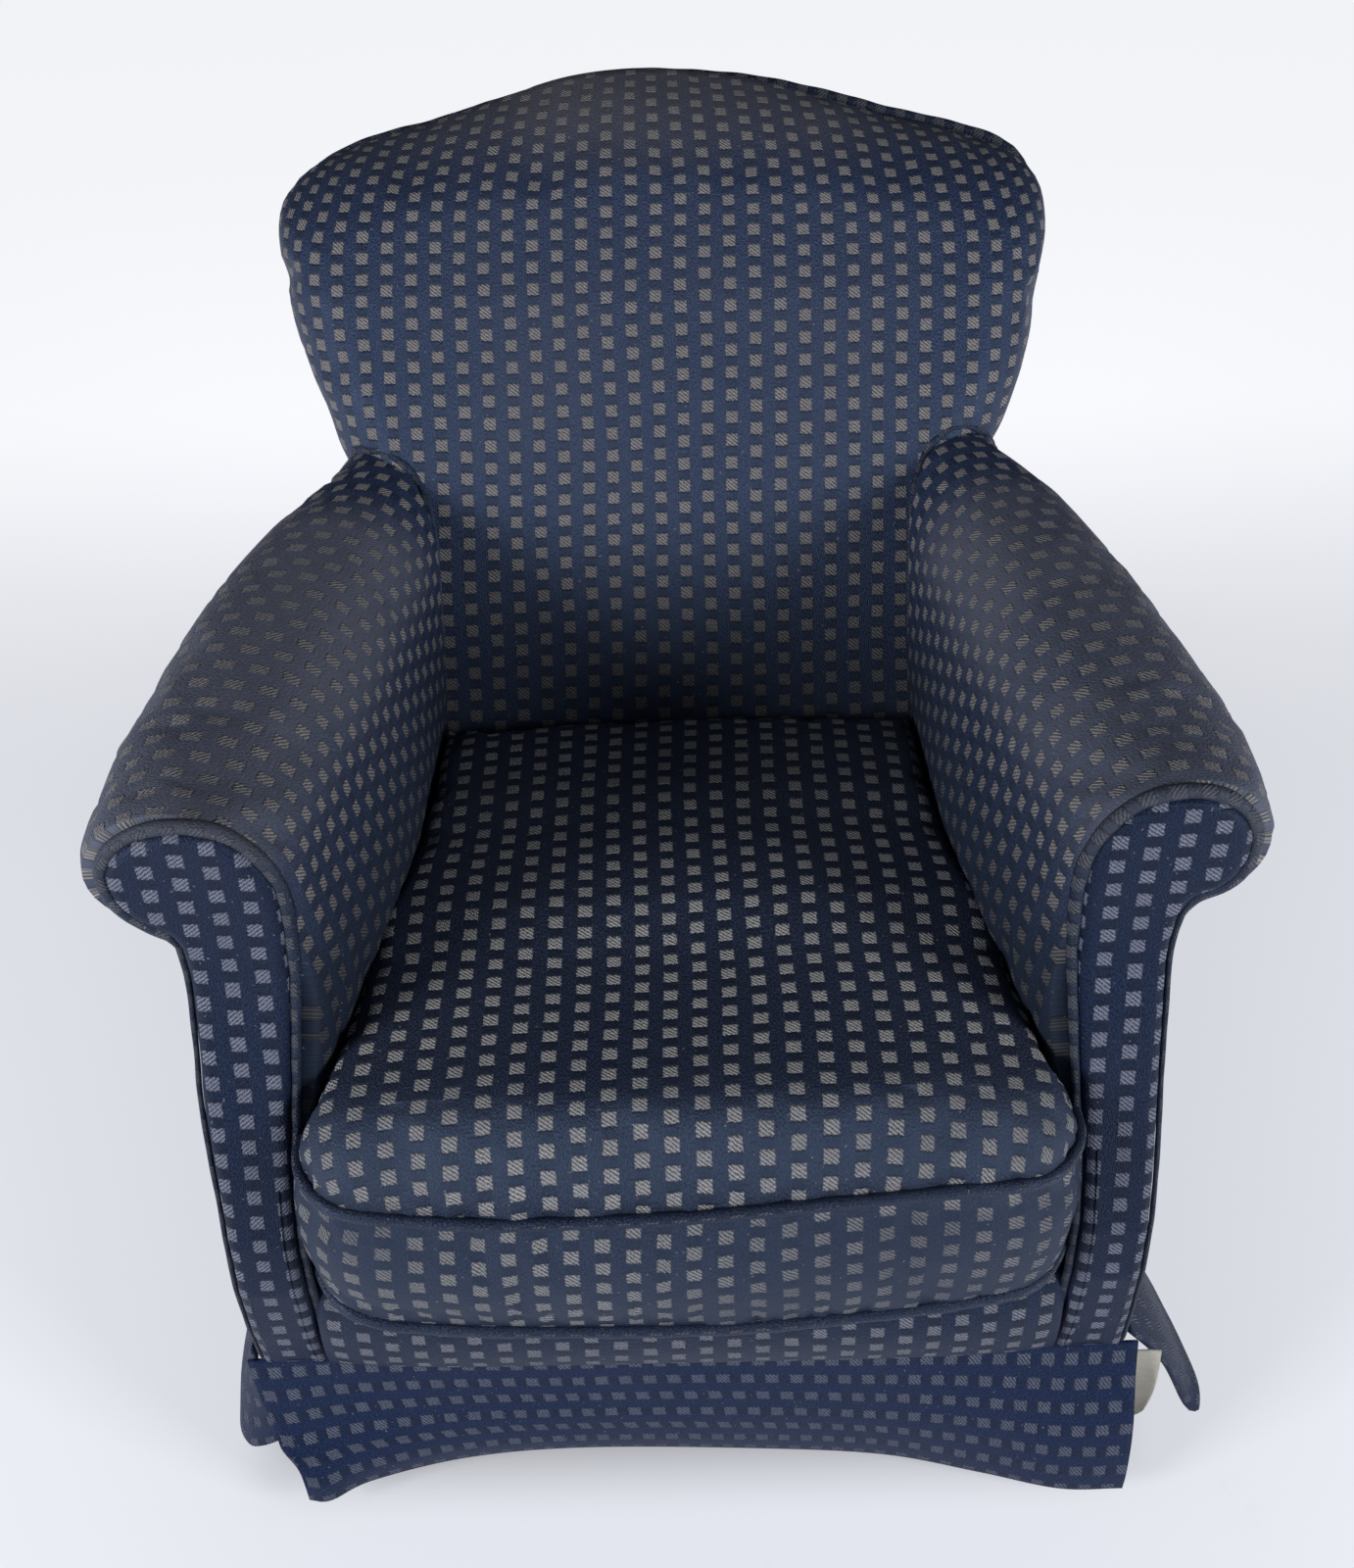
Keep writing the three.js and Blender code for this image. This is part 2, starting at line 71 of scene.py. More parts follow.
def soft_light(name, place, power):
    """A soft box 1 m by 0.8 m, turned to the middle of the chair."""
    light = bpy.data.lights.new(name, "AREA")
    light.shape, light.size, light.size_y = "RECTANGLE", 1.0, 0.8
    light.energy = power
    lamp = bpy.data.objects.new(name, light)
    lamp.location = place
    middle = Vector((0, 0, 0.45))
    lamp.rotation_euler = (middle - Vector(place)).to_track_quat("-Z", "Y").to_euler()
    bpy.context.scene.collection.objects.link(lamp)


soft_light("left_light", (-2.3, -1.8, 1.25), 70)
soft_light("right_light", (2.3, -1.8, 1.25), 62)

ROOM_LIGHT, ROOM_SEEN = 0.07, 0.90
room = bpy.data.worlds.new("room")
bpy.context.scene.world = room
room.use_nodes = True
room.node_tree.nodes["Background"].inputs["Color"].default_value = (0.90, 0.93, 1.0, 1)
seen = room.node_tree.nodes.new("ShaderNodeLightPath")
level = room.node_tree.nodes.new("ShaderNodeMapRange")
level.inputs["To Min"].default_value = ROOM_LIGHT
level.inputs["To Max"].default_value = ROOM_SEEN
room.node_tree.links.new(seen.outputs["Is Camera Ray"], level.inputs["Value"])
room.node_tree.links.new(
    level.outputs["Result"], room.node_tree.nodes["Background"].inputs["Strength"]
)


class Yarn:
    """One strand of a finish: a socket in its node tree. Arithmetic on strands adds Math nodes."""

    def __init__(self, tree, socket=None):
        self.tree, self.socket = tree, socket

    def node(self, kind, settings=(), inputs=(), out=0):
        made = self.tree.nodes.new("ShaderNode" + kind)
        for key, value in dict(settings).items():
            setattr(made, key, value)
        for key, value in dict(inputs).items():
            if isinstance(value, Yarn):
                self.tree.links.new(value.socket, made.inputs[key])
            else:
                made.inputs[key].default_value = value
        return Yarn(self.tree, made.outputs[out])

    def math(self, operation, *others):
        return self.node("Math", {"operation": operation}, enumerate([self, *others]))

    def swapped(self, operation, other):
        return self.node("Math", {"operation": operation}, {0: other, 1: self})

    def __add__(self, other): return self.math("ADD", other)
    def __sub__(self, other): return self.math("SUBTRACT", other)
    def __mul__(self, other): return self.math("MULTIPLY", other)
    def __truediv__(self, other): return self.math("DIVIDE", other)
    def __radd__(self, other): return self.math("ADD", other)
    def __rsub__(self, other): return self.swapped("SUBTRACT", other)

    def within(self, low, high):
        """0 below low, 1 above high, and a smooth step between."""
        return self.node(
            "MapRange", {"interpolation_type": "SMOOTHSTEP"}, {0: self, 1: low, 2: high}
        )

    def blended(self, first, second):
        """The first colour where this strand is 0 and the second where it is 1."""
        pair = {0: self, 6: first, 7: second}
        pair = {k: (*v, 1) if isinstance(v, tuple) else v for k, v in pair.items()}
        return self.node("Mix", {"data_type": "RGBA"}, pair, out=2)

    def noise(self, scale, detail=2.0, roughness=0.5, out=0):
        """Noise over this vector, from about 0.25 to 0.75."""
        inputs = {"Vector": self, "Scale": scale, "Detail": detail, "Roughness": roughness}
        return self.node("TexNoise", inputs=inputs, out=out)

    def parts(self):
        """The three numbers of this vector."""
        split = self.node("SeparateXYZ", inputs={0: self})
        sockets = split.socket.node.outputs
        return [Yarn(self.tree, socket) for socket in sockets]


def finish(name):
    """A new material, with its shader and a strand to start from."""
    made = bpy.data.materials.new(name)
    made.use_nodes = True
    shader = made.node_tree.nodes["Principled BSDF"]
    return made, shader, Yarn(made.node_tree)


def apply_finish(shader, start, colour, roughness, height=None, depth=0.0, **fixed):
    """Wires what changes over the surface and sets what does not."""
    for key, value in (("Base Color", colour), ("Roughness", roughness)):
        if isinstance(value, Yarn):
            start.tree.links.new(value.socket, shader.inputs[key])
        else:
            shader.inputs[key].default_value = value
    if height is not None:
        bump = start.node("Bump", inputs={"Strength": 1.0, "Distance": depth, "Height": height})
        start.tree.links.new(bump.socket, shader.inputs["Normal"])
    for key, value in fixed.items():
        shader.inputs[key.replace("_", " ")].default_value = value


# The floor is partly lit from within: not at all under the chair, and most of all far behind it.
paper, shader, start = finish("floor_paper")
spot = start.node("TexCoord", out=3)
along, away, _ = spot.parts()
fog = away.within(0.5, 1.9)
under = along.math("ABSOLUTE").within(0.37, 0.27) * away.math("ABSOLUTE").within(0.40, 0.29)
scuffs = spot.noise(9, 4).within(0.60, 0.75) * spot.noise(60, 3).within(0.45, 0.7)
floor_tone = (scuffs * 0.35).blended((0.44, 0.45, 0.48), (0.38, 0.38, 0.41))
apply_finish(shader, start, floor_tone, 0.7)
aside = (along.math("ABSOLUTE") - 0.2).within(0.0, 0.7)
near_glow = aside.blended((0.48, 0.49, 0.53), (0.56, 0.57, 0.61))
glow = under.blended(fog.blended(near_glow, (0.84, 0.85, 0.88)), (0.0, 0.0, 0.0))
glow = away.within(-0.7, -1.7).blended(glow, (0.42, 0.43, 0.45))
start.tree.links.new(glow.socket, shader.inputs["Emission Color"])
shader.inputs["Emission Strength"].default_value = 1.0
bpy.ops.mesh.primitive_plane_add(size=30, location=(0, 0, -0.0005))
floor = bpy.context.active_object
floor.name = "floor"
floor.data.materials.append(paper)
bpy.ops.object.transform_apply(location=True, rotation=True, scale=True)


# ---- Beech frame ----
# Rails, posts, stumps, corner blocks and feet of plain beech, sawn and glued. All of it is hidden
# by the upholstery except the feet, whose stain has dulled. The frame's own solids are kept.
def beech(name, pale, dark, along):
    made, shader, start = finish(name)
    spot = start.node("TexCoord", out=3)
    stretch = [60.0, 60.0, 60.0]
    stretch[along] = 5.0
    grain_place = start.node("Mapping", inputs={"Vector": spot, "Scale": stretch})
    rings = grain_place.noise(1.0, 4, 0.6)
    flecks = grain_place.noise(9.0, 2, 0.5).within(0.58, 0.72)
    grime = spot.noise(14, 3).within(0.42, 0.7)
    colour = (rings.within(0.3, 0.7)).blended(pale, dark)
    colour = (flecks * 0.35).blended(colour, tuple(c * 0.45 for c in dark))
    colour = (grime * 0.5).blended(colour, tuple(c * 0.5 for c in dark))
    apply_finish(shader, start, colour, 0.42 + rings * 0.25, rings + flecks * 0.5, 0.0006)
    return made


frame_wood = {
    axis: beech("beech_" + "xyz"[axis], (0.44, 0.29, 0.16), (0.27, 0.16, 0.08), axis)
    for axis in range(3)
}
foot_wood = beech("stained_foot", (0.075, 0.034, 0.016), (0.03, 0.014, 0.008), 2)
for name, node in nodes.items():
    if name.startswith(("foot", "seat_rail", "arm_stump", "back_post", "arm_rail",
                        "arm_tack", "crest_rail", "back_tack", "corner_block")):
        low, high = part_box(name)
        longest = max(range(3), key=lambda k: high[k] - low[k])
        node.data.materials[0] = foot_wood if name.startswith("foot") else frame_wood[longest]


# ---- Springs, webbing, hessian and lining ----
# Nine coil springs stand on jute webbing under the seat, with hessian and a calico platform over
# them. More webbing backs the inside back, and a black cloth closes the underside.
def plain_weave(name, light, dark, pitch):
    made, shader, start = finish(name)
    spot = start.node("TexCoord", out=3)
    x, y, z = spot.parts()
    over = (x * (2 * pi / pitch)).math("SINE") * ((y + z) * (2 * pi / pitch)).math("SINE")
    slubs = start.node("Mapping", inputs={"Vector": spot, "Scale": (40, 400, 400)}).noise(1, 3)
    mix = (over * 0.35 + 0.5 + (slubs - 0.5) * 0.9).within(0.1, 0.9)
    colour = mix.blended(dark, light)
    stain = spot.noise(11, 3).within(0.45, 0.7)
    colour = (stain * 0.45).blended(colour, tuple(c * 0.6 for c in dark))
    apply_finish(shader, start, colour, 0.9, over + slubs, 0.0007)
    return made


jute = plain_weave("jute", (0.36, 0.25, 0.13), (0.16, 0.10, 0.05), 0.004)
calico = plain_weave("calico", (0.62, 0.57, 0.46), (0.42, 0.38, 0.30), 0.0014)
black_cloth = plain_weave("black_cloth", (0.035, 0.034, 0.036), (0.012, 0.012, 0.013), 0.0016)
nodes["seat_webbing"].data.materials[0] = jute
nodes["back_webbing"].data.materials[0] = jute
nodes["seat_hessian"].data.materials[0] = jute
nodes["seat_platform"].data.materials[0] = calico
nodes["bottoming_cloth"].data.materials[0] = black_cloth

wire, shader, start = finish("spring_wire")
spot = start.node("TexCoord", out=3)
rust = spot.noise(90, 4, 0.6).within(0.5, 0.62)
apply_finish(
    shader, start, rust.blended((0.30, 0.27, 0.24), (0.16, 0.06, 0.025)), 0.35 + rust * 0.5,
    rust, 0.0003, Metallic=0.8,
)
for number in range(1, 10):
    nodes[f"spring_{number}"].data.materials[0] = wire


# ---- Woven cover cloth ----
# A navy furnishing cloth with small grey twill squares. They stand in columns 20 mm apart, each
# column half a step off the next. Rubbed and greyed on the arms and the top of the back.
COLUMN, STEP = 0.020, 0.0179
SQUARE_WIDE, SQUARE_HIGH = 0.0096, 0.0098
TWILL_PITCH, THREAD_SOFT = 0.0030, 0.00035
PULL, RAGGED = 0.009, 0.0022


def cover_cloth(name, ground, gap, square, wear_and_painted_light=(), turned=False, sheen=0.5, drift=(0, 0),
                painted_shade_below=None):
    """The cover cloth. Its strands follow the piece's cut map, which is in metres.
    The regions after the square colour are each (strength, colour, lowest corner, highest corner,
    soft edge) in metres: real wear and dust, and painted shade and painted sheen.
    The last argument is (strength, from, to): painted shade, full below from and gone above to,
    measured up the cut."""
    made, shader, start = finish(name)
    spot = start.node("TexCoord", out=3)
    cut = start.node("UVMap", {"uv_map": "cut"})
    pull = cut.noise(5.5, 1, 0.4, out=1)
    u, v, _ = cut.parts()
    pull_u, pull_v, _ = pull.parts()
    u = u + (pull_u - 0.5) * PULL + drift[0]
    v = v + (pull_v - 0.5) * PULL + drift[1]
    up_the_cut = v
    if turned:
        u, v = v, u
    # where this point lies in its column and its step
    column = (u / COLUMN).math("FLOOR")
    in_column = (u / COLUMN - column - 0.5) * COLUMN
    rise = v / STEP + column.math("FLOORED_MODULO", 2) * 0.5
    step = rise.math("FLOOR")
    in_step = (rise - step - 0.5) * STEP
    # each thread ends a little short or long, so the squares have ragged edges
    weft = start.node("CombineXYZ", inputs={0: u * 140, 1: v * 1000})
    warp = start.node("CombineXYZ", inputs={0: u * 1000, 1: v * 140})
    ragged_u = (weft.noise(1, 0) - 0.5) * RAGGED
    ragged_v = (warp.noise(1, 0) - 0.5) * RAGGED
    beside = SQUARE_WIDE / 2 - (in_column + ragged_u).math("ABSOLUTE")
    above = SQUARE_HIGH / 2 - (in_step + ragged_v).math("ABSOLUTE")
    in_band = beside.within(-THREAD_SOFT, THREAD_SOFT)
    in_square = in_band * above.within(-THREAD_SOFT, THREAD_SOFT)
    # twill in the squares, satin speckle in the ground
    twill = (u * 0.8 + v) * (2 * pi / TWILL_PITCH) + warp.noise(0.5, 1) * 4
    slant = twill.math("SINE") * 0.5 + 0.5
    thread = start.node("CombineXYZ", inputs={0: u * 900, 1: v * 520}).noise(1, 1, 0.6)
    speck = thread.within(0.36, 0.70)
    tone = start.node("CombineXYZ", inputs={0: column * 3.7, 1: step * 5.3}).noise(1, 0)
    light = slant.within(0.1, 0.9) * 0.62 + speck * 0.38
    fleck = light.blended(tuple(c * 0.22 for c in square), tuple(min(1, c * 1.85) for c in square))
    fleck = (tone.within(0.3, 0.7) * 0.25).blended(fleck, tuple(c * 0.7 for c in square))
    bed = speck.blended(tuple(c * 0.45 for c in ground), tuple(c * 1.7 for c in ground))
    colour = (in_band * 0.6).blended(bed, gap)
    # painted shade in the slots above and below each square, where the ground dips under it
    slot = in_band * above.math("ABSOLUTE").within(0.0014, 0.0)
    colour = (slot * (1 - in_square) * 0.8).blended(colour, tuple(c * 0.35 for c in gap))
    colour = in_square.blended(colour, fleck)
    # dust and rubbing, and the painted shade and painted sheen of the listed regions
    haze = spot.noise(6, 3).within(0.3, 0.75)
    lint = spot.noise(420, 0).within(0.835, 0.84)
    rough = 0.46 + in_square * 0.3 + speck * 0.08
    for strength, worn_and_painted_colour, low, high, edge in wear_and_painted_light:
        region = None
        for part, a, b in zip(spot.parts(), low, high):
            inside = part.within(a - edge, a + edge) * part.within(b + edge, b - edge)
            region = inside if region is None else region * inside
        worn_and_painted_mask = region * (haze * 0.5 + 0.5) * strength
        # pale marks, dust, wear and painted sheen, lie thinner on the squares than on the ground;
        # dark ones, all painted shade, cover both alike
        if sum(worn_and_painted_colour) > 0.1:
            worn_and_painted_mask = worn_and_painted_mask * (1 - in_square * 0.75) * (speck * 0.4 + 0.8)
        colour = worn_and_painted_mask.blended(colour, worn_and_painted_colour)
        rough = rough + worn_and_painted_mask * 0.25
    colour = (haze * 0.05).blended(colour, (0.10, 0.10, 0.12))
    # painted shade: full low down the cut, fading out higher up
    if painted_shade_below:
        strength, start_at, end_at = painted_shade_below
        deep = up_the_cut.within(end_at, start_at) * strength
        colour = deep.blended(colour, (0.004, 0.006, 0.012))
        rough = rough + deep * 0.3
    colour = (lint * 0.35).blended(colour, (0.3, 0.3, 0.32))
    relief = in_square * 0.55 + in_square * slant * 0.5 + speck * 0.35 - slot * 0.5
    apply_finish(shader, start, colour, rough, relief, 0.0009, Specular_IOR_Level=sheen)
    shader.inputs["Specular Tint"].default_value = (0.50, 0.68, 1.0, 1)
    return made


NAVY, GAP, SQUARE = (0.018, 0.029, 0.070), (0.008, 0.013, 0.033), (0.180, 0.172, 0.176)


def drawn(points, count):
    """A smooth line through the points, as count points evenly spaced along it."""
    p = np.array(points, float)
    p = np.vstack([2 * p[0] - p[1], p, 2 * p[-1] - p[-2]])
    t = np.linspace(0, 1, 12, endpoint=False)[:, None]
    dense = [
        0.5 * (2 * b + (c - a) * t + (2 * a - 5 * b + 4 * c - d) * t**2
               + (3 * b - a - 3 * c + d) * t**3)
        for a, b, c, d in zip(p, p[1:], p[2:], p[3:])
    ]
    return spaced(np.vstack([*dense, p[-2:-1]]), count)


def length_along(line):
    return np.concatenate([[0], np.cumsum(np.linalg.norm(np.diff(line, axis=0), axis=1))])


def spaced(line, count):
    far = length_along(line)
    want = np.linspace(0, far[-1], count)
    return np.stack([np.interp(want, far, column) for column in line.T], -1)


def between(bottom, right, top, left):
    """A grid of points filling four edge lines: bottom and top run left to right, sides upwards."""
    s = np.linspace(0, 1, len(bottom))[None, :, None]
    t = np.linspace(0, 1, len(left))[:, None, None]
    ruled = (1 - t) * bottom[None] + t * top[None] + (1 - s) * left[:, None] + s * right[:, None]
    ends = (1 - t) * ((1 - s) * bottom[0] + s * bottom[-1]) + t * ((1 - s) * top[0] + s * top[-1])
    return ruled - ends


def sew(name, *cuts):
    """One cover from its cuts, each a grid of points and the same grid laid flat in metres."""
    points, faces, flat = [], [], []
    for grid, laid in cuts:
        rows, columns = grid.shape[:2]
        index = np.arange(rows * columns).reshape(rows, columns)
        quads = np.stack([index[:-1, :-1], index[:-1, 1:], index[1:, 1:], index[1:, :-1]], -1)
        quads = quads.reshape(-1, 4)
        flat.append(laid.reshape(-1, 2)[quads].reshape(-1, 2))
        faces.extend((quads + len(points)).tolist())
        points.extend(grid.reshape(-1, 3).tolist())
    mesh = bpy.data.meshes.new(name)
    mesh.from_pydata(points, [], faces)
    mesh.uv_layers.new(name="cut").data.foreach_set("uv", np.vstack(flat).ravel())
    work = bmesh.new()
    work.from_mesh(mesh)
    bmesh.ops.remove_doubles(work, verts=work.verts, dist=2e-5)
    bmesh.ops.recalc_face_normals(work, faces=work.faces)
    work.to_mesh(mesh)
    work.free()
    mesh.shade_smooth()
    piece = bpy.data.objects.new(name, mesh)
    bpy.context.scene.collection.objects.link(piece)
    return piece


def edge_loop(sides, reach):
    """The closed edge of a panel, and at each point the way out, smoothed over reach metres."""
    bottom, right, top, left = sides
    loop = np.vstack([bottom[:-1], right[:-1], top[::-1][:-1], left[::-1]])
    run = length_along(loop)
    step = np.roll(loop[:-1], -1, 0) - np.roll(loop[:-1], 1, 0)
    out = np.stack([step[:, 1], -step[:, 0]], -1)
    out /= np.linalg.norm(out, axis=1)[:, None]
    middle, total = run[:-1], run[-1]
    apart = np.abs(middle[:, None] - middle[None])
    weight = np.exp(-((np.minimum(apart, total - apart) / reach) ** 2))
    weight *= np.gradient(middle)[None]
    out = weight @ out
    out /= np.linalg.norm(out, axis=1)[:, None]
    return loop, np.vstack([out, out[:1]]), run


def pad(name, sides, reach, bands, place, flat):
    """A closed stuffed form. sides are its plan edge. Each band is a run of rings round it, as
    (how far outside the edge, how deep) at each ring; the first starts where the face ends. place
    puts plan points and depth in space, flat lays plan points in the cloth."""
    loop, out, run = edge_loop(sides, reach)
    corner = np.cumsum([0] + [len(side) - 1 for side in sides])

    def face(ring):
        four = [ring[a:b + 1] for a, b in zip(corner, corner[1:])]
        return between(four[0], four[1], four[2][::-1], four[3][::-1])

    def ring_at(reach_out, deep):
        reach_out, deep = np.broadcast_to(reach_out, len(loop)), np.broadcast_to(deep, len(loop))
        return np.column_stack([loop + out * reach_out[:, None], deep])

    first = face(ring_at(*bands[0][0]))
    cuts = [(place(first), flat(first[..., :2]))]
    for number, band in enumerate(bands):
        rings = np.stack([ring_at(*ring) for ring in band])
        spaces = place(rings)
        gaps = np.linalg.norm(np.diff(spaces, axis=0), axis=2)
        down = np.vstack([np.zeros(len(loop)), np.cumsum(gaps, axis=0)])
        if number == 0:
            laid = flat(rings[0][:, :2])[None] + out[None] * down[..., None]
        else:
            laid = np.stack([np.broadcast_to(run, down.shape), -down], -1)
        cuts.append((spaces, laid))
    last = face(ring_at(*bands[-1][-1]))
    cuts.append((place(last), last[..., :2] * (1, -1)))
    return sew(name, *cuts)


def turn_over(wide, deep):
    """The rings of a rounded edge: wide across and deep down."""
    return [(wide * (sin(a) - 1), deep * (1 - cos(a))) for a in np.linspace(0, pi / 2, 12)]


def finish_piece(piece, cloth, slot, *replaced):
    piece.data.materials.append(cloth)
    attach(piece, "root")
    if replaced:
        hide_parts(*replaced)


SETTLE_FRAMES = 20


def plump(piece, held, pressure, loose, cap):
    """Fills the finished cover as fibre does: the cloth is a little larger than its form, is blown
    out against its held points and creases between them. No point moves further than cap."""
    mesh = piece.data
    still = np.array([v.co for v in mesh.vertices])
    group = piece.vertex_groups.new(name="held")
    group.add([int(i) for i in np.nonzero(held(still))[0]], 1, "REPLACE")
    cloth = piece.modifiers.new("cloth", "CLOTH")
    settings = cloth.settings
    settings.vertex_group_mass = "held"
    settings.effector_weights.gravity = 0
    settings.use_pressure, settings.uniform_pressure_force = True, pressure
    settings.shrink_min = -loose
    settings.tension_stiffness = settings.compression_stiffness = 15
    settings.bending_stiffness = 0.5
    settings.quality = 4
    cloth.collision_settings.use_collision = False
    cloth.point_cache.frame_start, cloth.point_cache.frame_end = 1, SETTLE_FRAMES
    for frame_number in range(1, SETTLE_FRAMES + 1):
        bpy.context.scene.frame_set(frame_number)
    blown = piece.evaluated_get(bpy.context.evaluated_depsgraph_get()).data
    moved = np.array([v.co for v in blown.vertices]) - still
    far = np.linalg.norm(moved, axis=1, keepdims=True)
    moved *= cap * np.tanh(far / cap) / np.maximum(far, 1e-9)
    piece.modifiers.remove(cloth)
    piece.vertex_groups.remove(group)
    mesh.vertices.foreach_set("co", (still + moved).ravel())
    mesh.update()
    bpy.context.scene.frame_set(1)


# ---- Inside back ----
# One piece of cloth over fibre and webbing, drawn over the bowed top and round both sides to the
# back edge. Its face leans back, is hollowed a little by use, and its top edge is grey with wear.
BACK_FRONT = np.array([
    (100, 24), (190, 30), (330, 42), (424, 62), (500, 103), (580, 143), (672, 185), (740, 225),
    (790, 262), (900, 340),
]) / 1000
BACK_REAR = np.array([
    (100, 240), (300, 245), (450, 272), (600, 318), (750, 366), (850, 404), (900, 408),
]) / 1000
back_left = np.array([
    (-279, 100), (-279, 300), (-279, 500), (-281, 590), (-281, 605), (-289, 624), (-296, 646),
    (-308, 677), (-319, 711), (-327, 748), (-331, 772), (-327, 793), (-313, 809),
]) / 1000
back_top = np.array([
    (-313, 809), (-292, 822), (-268, 831), (-242, 838), (-208, 845), (-177, 853), (-132, 865),
    (-86, 876), (-41, 881), (0, 881), (50, 876), (95, 869), (140, 858), (185, 846), (232, 836),
    (268, 827), (290, 820), (306, 811),
]) / 1000
back_right = np.array([
    (279, 100), (279, 300), (279, 500), (277, 590), (274, 605), (288, 631), (299, 660),
    (308, 691), (314, 726), (319, 750), (322, 772), (318, 795), (306, 811),
]) / 1000
BACK_HALF, BACK_LOW = 0.279, 0.1
BACK_TURN, BACK_DROP, BACK_REACH = 0.058, 0.044, 0.055
lean = np.concatenate([[0], np.cumsum(np.hypot(*np.diff(BACK_FRONT, axis=0).T))])


def back_face(x, z):
    hollow = 0.006 * np.exp(-((x / 0.16) ** 2) - ((z - 0.60) / 0.13) ** 2)
    return np.interp(z, *BACK_FRONT.T) + 0.016 * (x / 0.3) ** 2 + hollow


def back_place(p):
    x, z, deep = p[..., 0], p[..., 1], p[..., 2]
    return np.stack([x, back_face(x, z) + deep, z], -1)


def back_flat(p):
    return np.stack([p[..., 0], np.interp(p[..., 1], BACK_FRONT[:, 0], lean)], -1)


back_sides = (
    np.linspace((-BACK_HALF, BACK_LOW), (BACK_HALF, BACK_LOW), 85),
    drawn(back_right, 105),
    drawn(back_top, 85),
    drawn(back_left, 105),
)
back_edge, back_out, _ = edge_loop(back_sides, BACK_REACH)
back_drop = np.interp(back_edge[:, 1], [0.60, 0.76, 0.83, 0.88], [BACK_DROP, 0.046, 0.058, 0.066])
rear_deep = np.interp(back_edge[:, 1], *BACK_REAR.T) - back_face(*back_edge.T)
rear_deep = np.maximum(rear_deep, back_drop + 0.006)
back_bands = [
    turn_over(BACK_TURN, back_drop)
    + [(-0.006 * f, back_drop + (rear_deep - back_drop) * f) for f in (0.25, 0.5, 0.75, 1.0)]
]
inside_back = pad(
    "inside_back_cover", back_sides, BACK_REACH, back_bands, back_place, back_flat
)
back_cloth = cover_cloth(
    "back_cloth", NAVY, GAP, SQUARE,
    wear_and_painted_light=[
        (0.70, (0.150, 0.142, 0.150), (-0.4, 0.2, 0.845), (0.4, 0.6, 1.0), 0.035),
        # a lighter blue over the middle of the face: painted sheen, and fading where backs lean
        (0.32, (0.05, 0.06, 0.10), (-0.2, 0.0, 0.60), (0.2, 0.6, 0.78), 0.09),
    ],
    # painted shade on the lower part of the face, where the back meets the seat
    painted_shade_below=(0.55, 0.36, 0.52),
)
plump(
    inside_back, lambda p: (p[:, 1] > np.interp(p[:, 2], *BACK_REAR.T) - 0.02) | (p[:, 2] < 0.36),
    2.0, 0.02, 0.005,
)
finish_piece(inside_back, back_cloth, "woven_cover", "inside_back", "back_edge_roll")


# ---- Arm pads ----
# Cloth over fibre, pulled from the seat up the inside face, over the scroll and under it. The arms
# splay: they narrow and climb towards the back. Handling has rubbed their tops grey.
ARM_SECTION = np.array([
    (263, 190), (264, 300), (257, 400), (251, 470), (252, 530), (257, 558), (266, 578), (280, 594),
    (300, 601), (320, 601), (340, 592), (353, 577), (359, 558), (357, 542), (349, 529), (336, 518),
    (320, 510),
]) / 1000
FACING_FRONT = np.array([
    (100, -346), (150, -356), (200, -366), (250, -371), (293, -366), (357, -345), (400, -330),
    (440, -317), (480, -303), (520, -300), (650, -300),
]) / 1000
ARM_INNER = np.array([(-400, 250), (-285, 250), (160, 196), (300, 179)]) / 1000
ARM_OUTER = {
    -1: np.array([
        (-400, 371), (-285, 380), (-180, 385), (-60, 373), (20, 356), (90, 333), (160, 298),
        (300, 264),
    ]) / 1000,
    1: np.array([
        (-400, 364), (-285, 372), (-180, 379), (-60, 362), (20, 344), (90, 321), (160, 286),
        (300, 258),
    ]) / 1000,
}
ARM_RISE = np.array([(-400, 0), (-285, 0), (160, 30), (300, 36)]) / 1000
ARM_BULGE = np.array([
    (-352, 1), (-328, 12), (-300, 18), (-208, 23), (-141, 24), (-41, 20), (66, 11), (160, 3),
]) / 1000
ARM_END, ARM_SKIN, ARM_MIDDLE = 0.285, 0.020, 0.306
section = drawn(ARM_SECTION, 76)
tangent = np.gradient(section, axis=0)
tangent /= np.linalg.norm(tangent, axis=1)[:, None]
inner_section = section + np.stack([tangent[:, 1], -tangent[:, 0]], -1) * ARM_SKIN
section_run = length_along(section)


def along_arm(side, x, y, z):
    swell = np.interp(y, *ARM_BULGE.T) * np.exp(-(((z - 0.415) / 0.075) ** 2))
    x = x - swell * np.clip((0.295 - x) / 0.025, 0, 1)
    inner = np.interp(y, *ARM_INNER.T)
    narrowing = (np.interp(y, *ARM_OUTER[side].T) - inner) / 0.112
    lift = 1 + np.interp(y, *ARM_RISE.T) / (0.603 - 0.19)
    head = 0.006 if side > 0 else -0.004
    lifted = 0.19 + (z - 0.19) * lift + head * np.clip((z - 0.45) / 0.12, 0, 1)
    return np.stack([side * (inner + (x - 0.25) * narrowing), y, lifted], -1)


def arm_grid(side, line, begin, stations):
    """The section line carried from the facing to the back, tucked in at its front end, then
    rolled out into a lip."""
    end = np.minimum(ARM_END, np.interp(line[:, 1], *BACK_REAR.T) - 0.016)[:, None]
    y = begin[:, None] * (1 - stations) + end * stations
    tuck = 0.05 * np.exp(-stations / 0.012)
    lip = 0.030 * np.exp(-(((stations - 0.045) / 0.04) ** 2))
    grow = 1 - tuck + lip
    x = ARM_MIDDLE + (line[:, 0][:, None] - ARM_MIDDLE) * grow
    z = line[:, 1][:, None] + 0 * grow
    return along_arm(side, x, y, z)


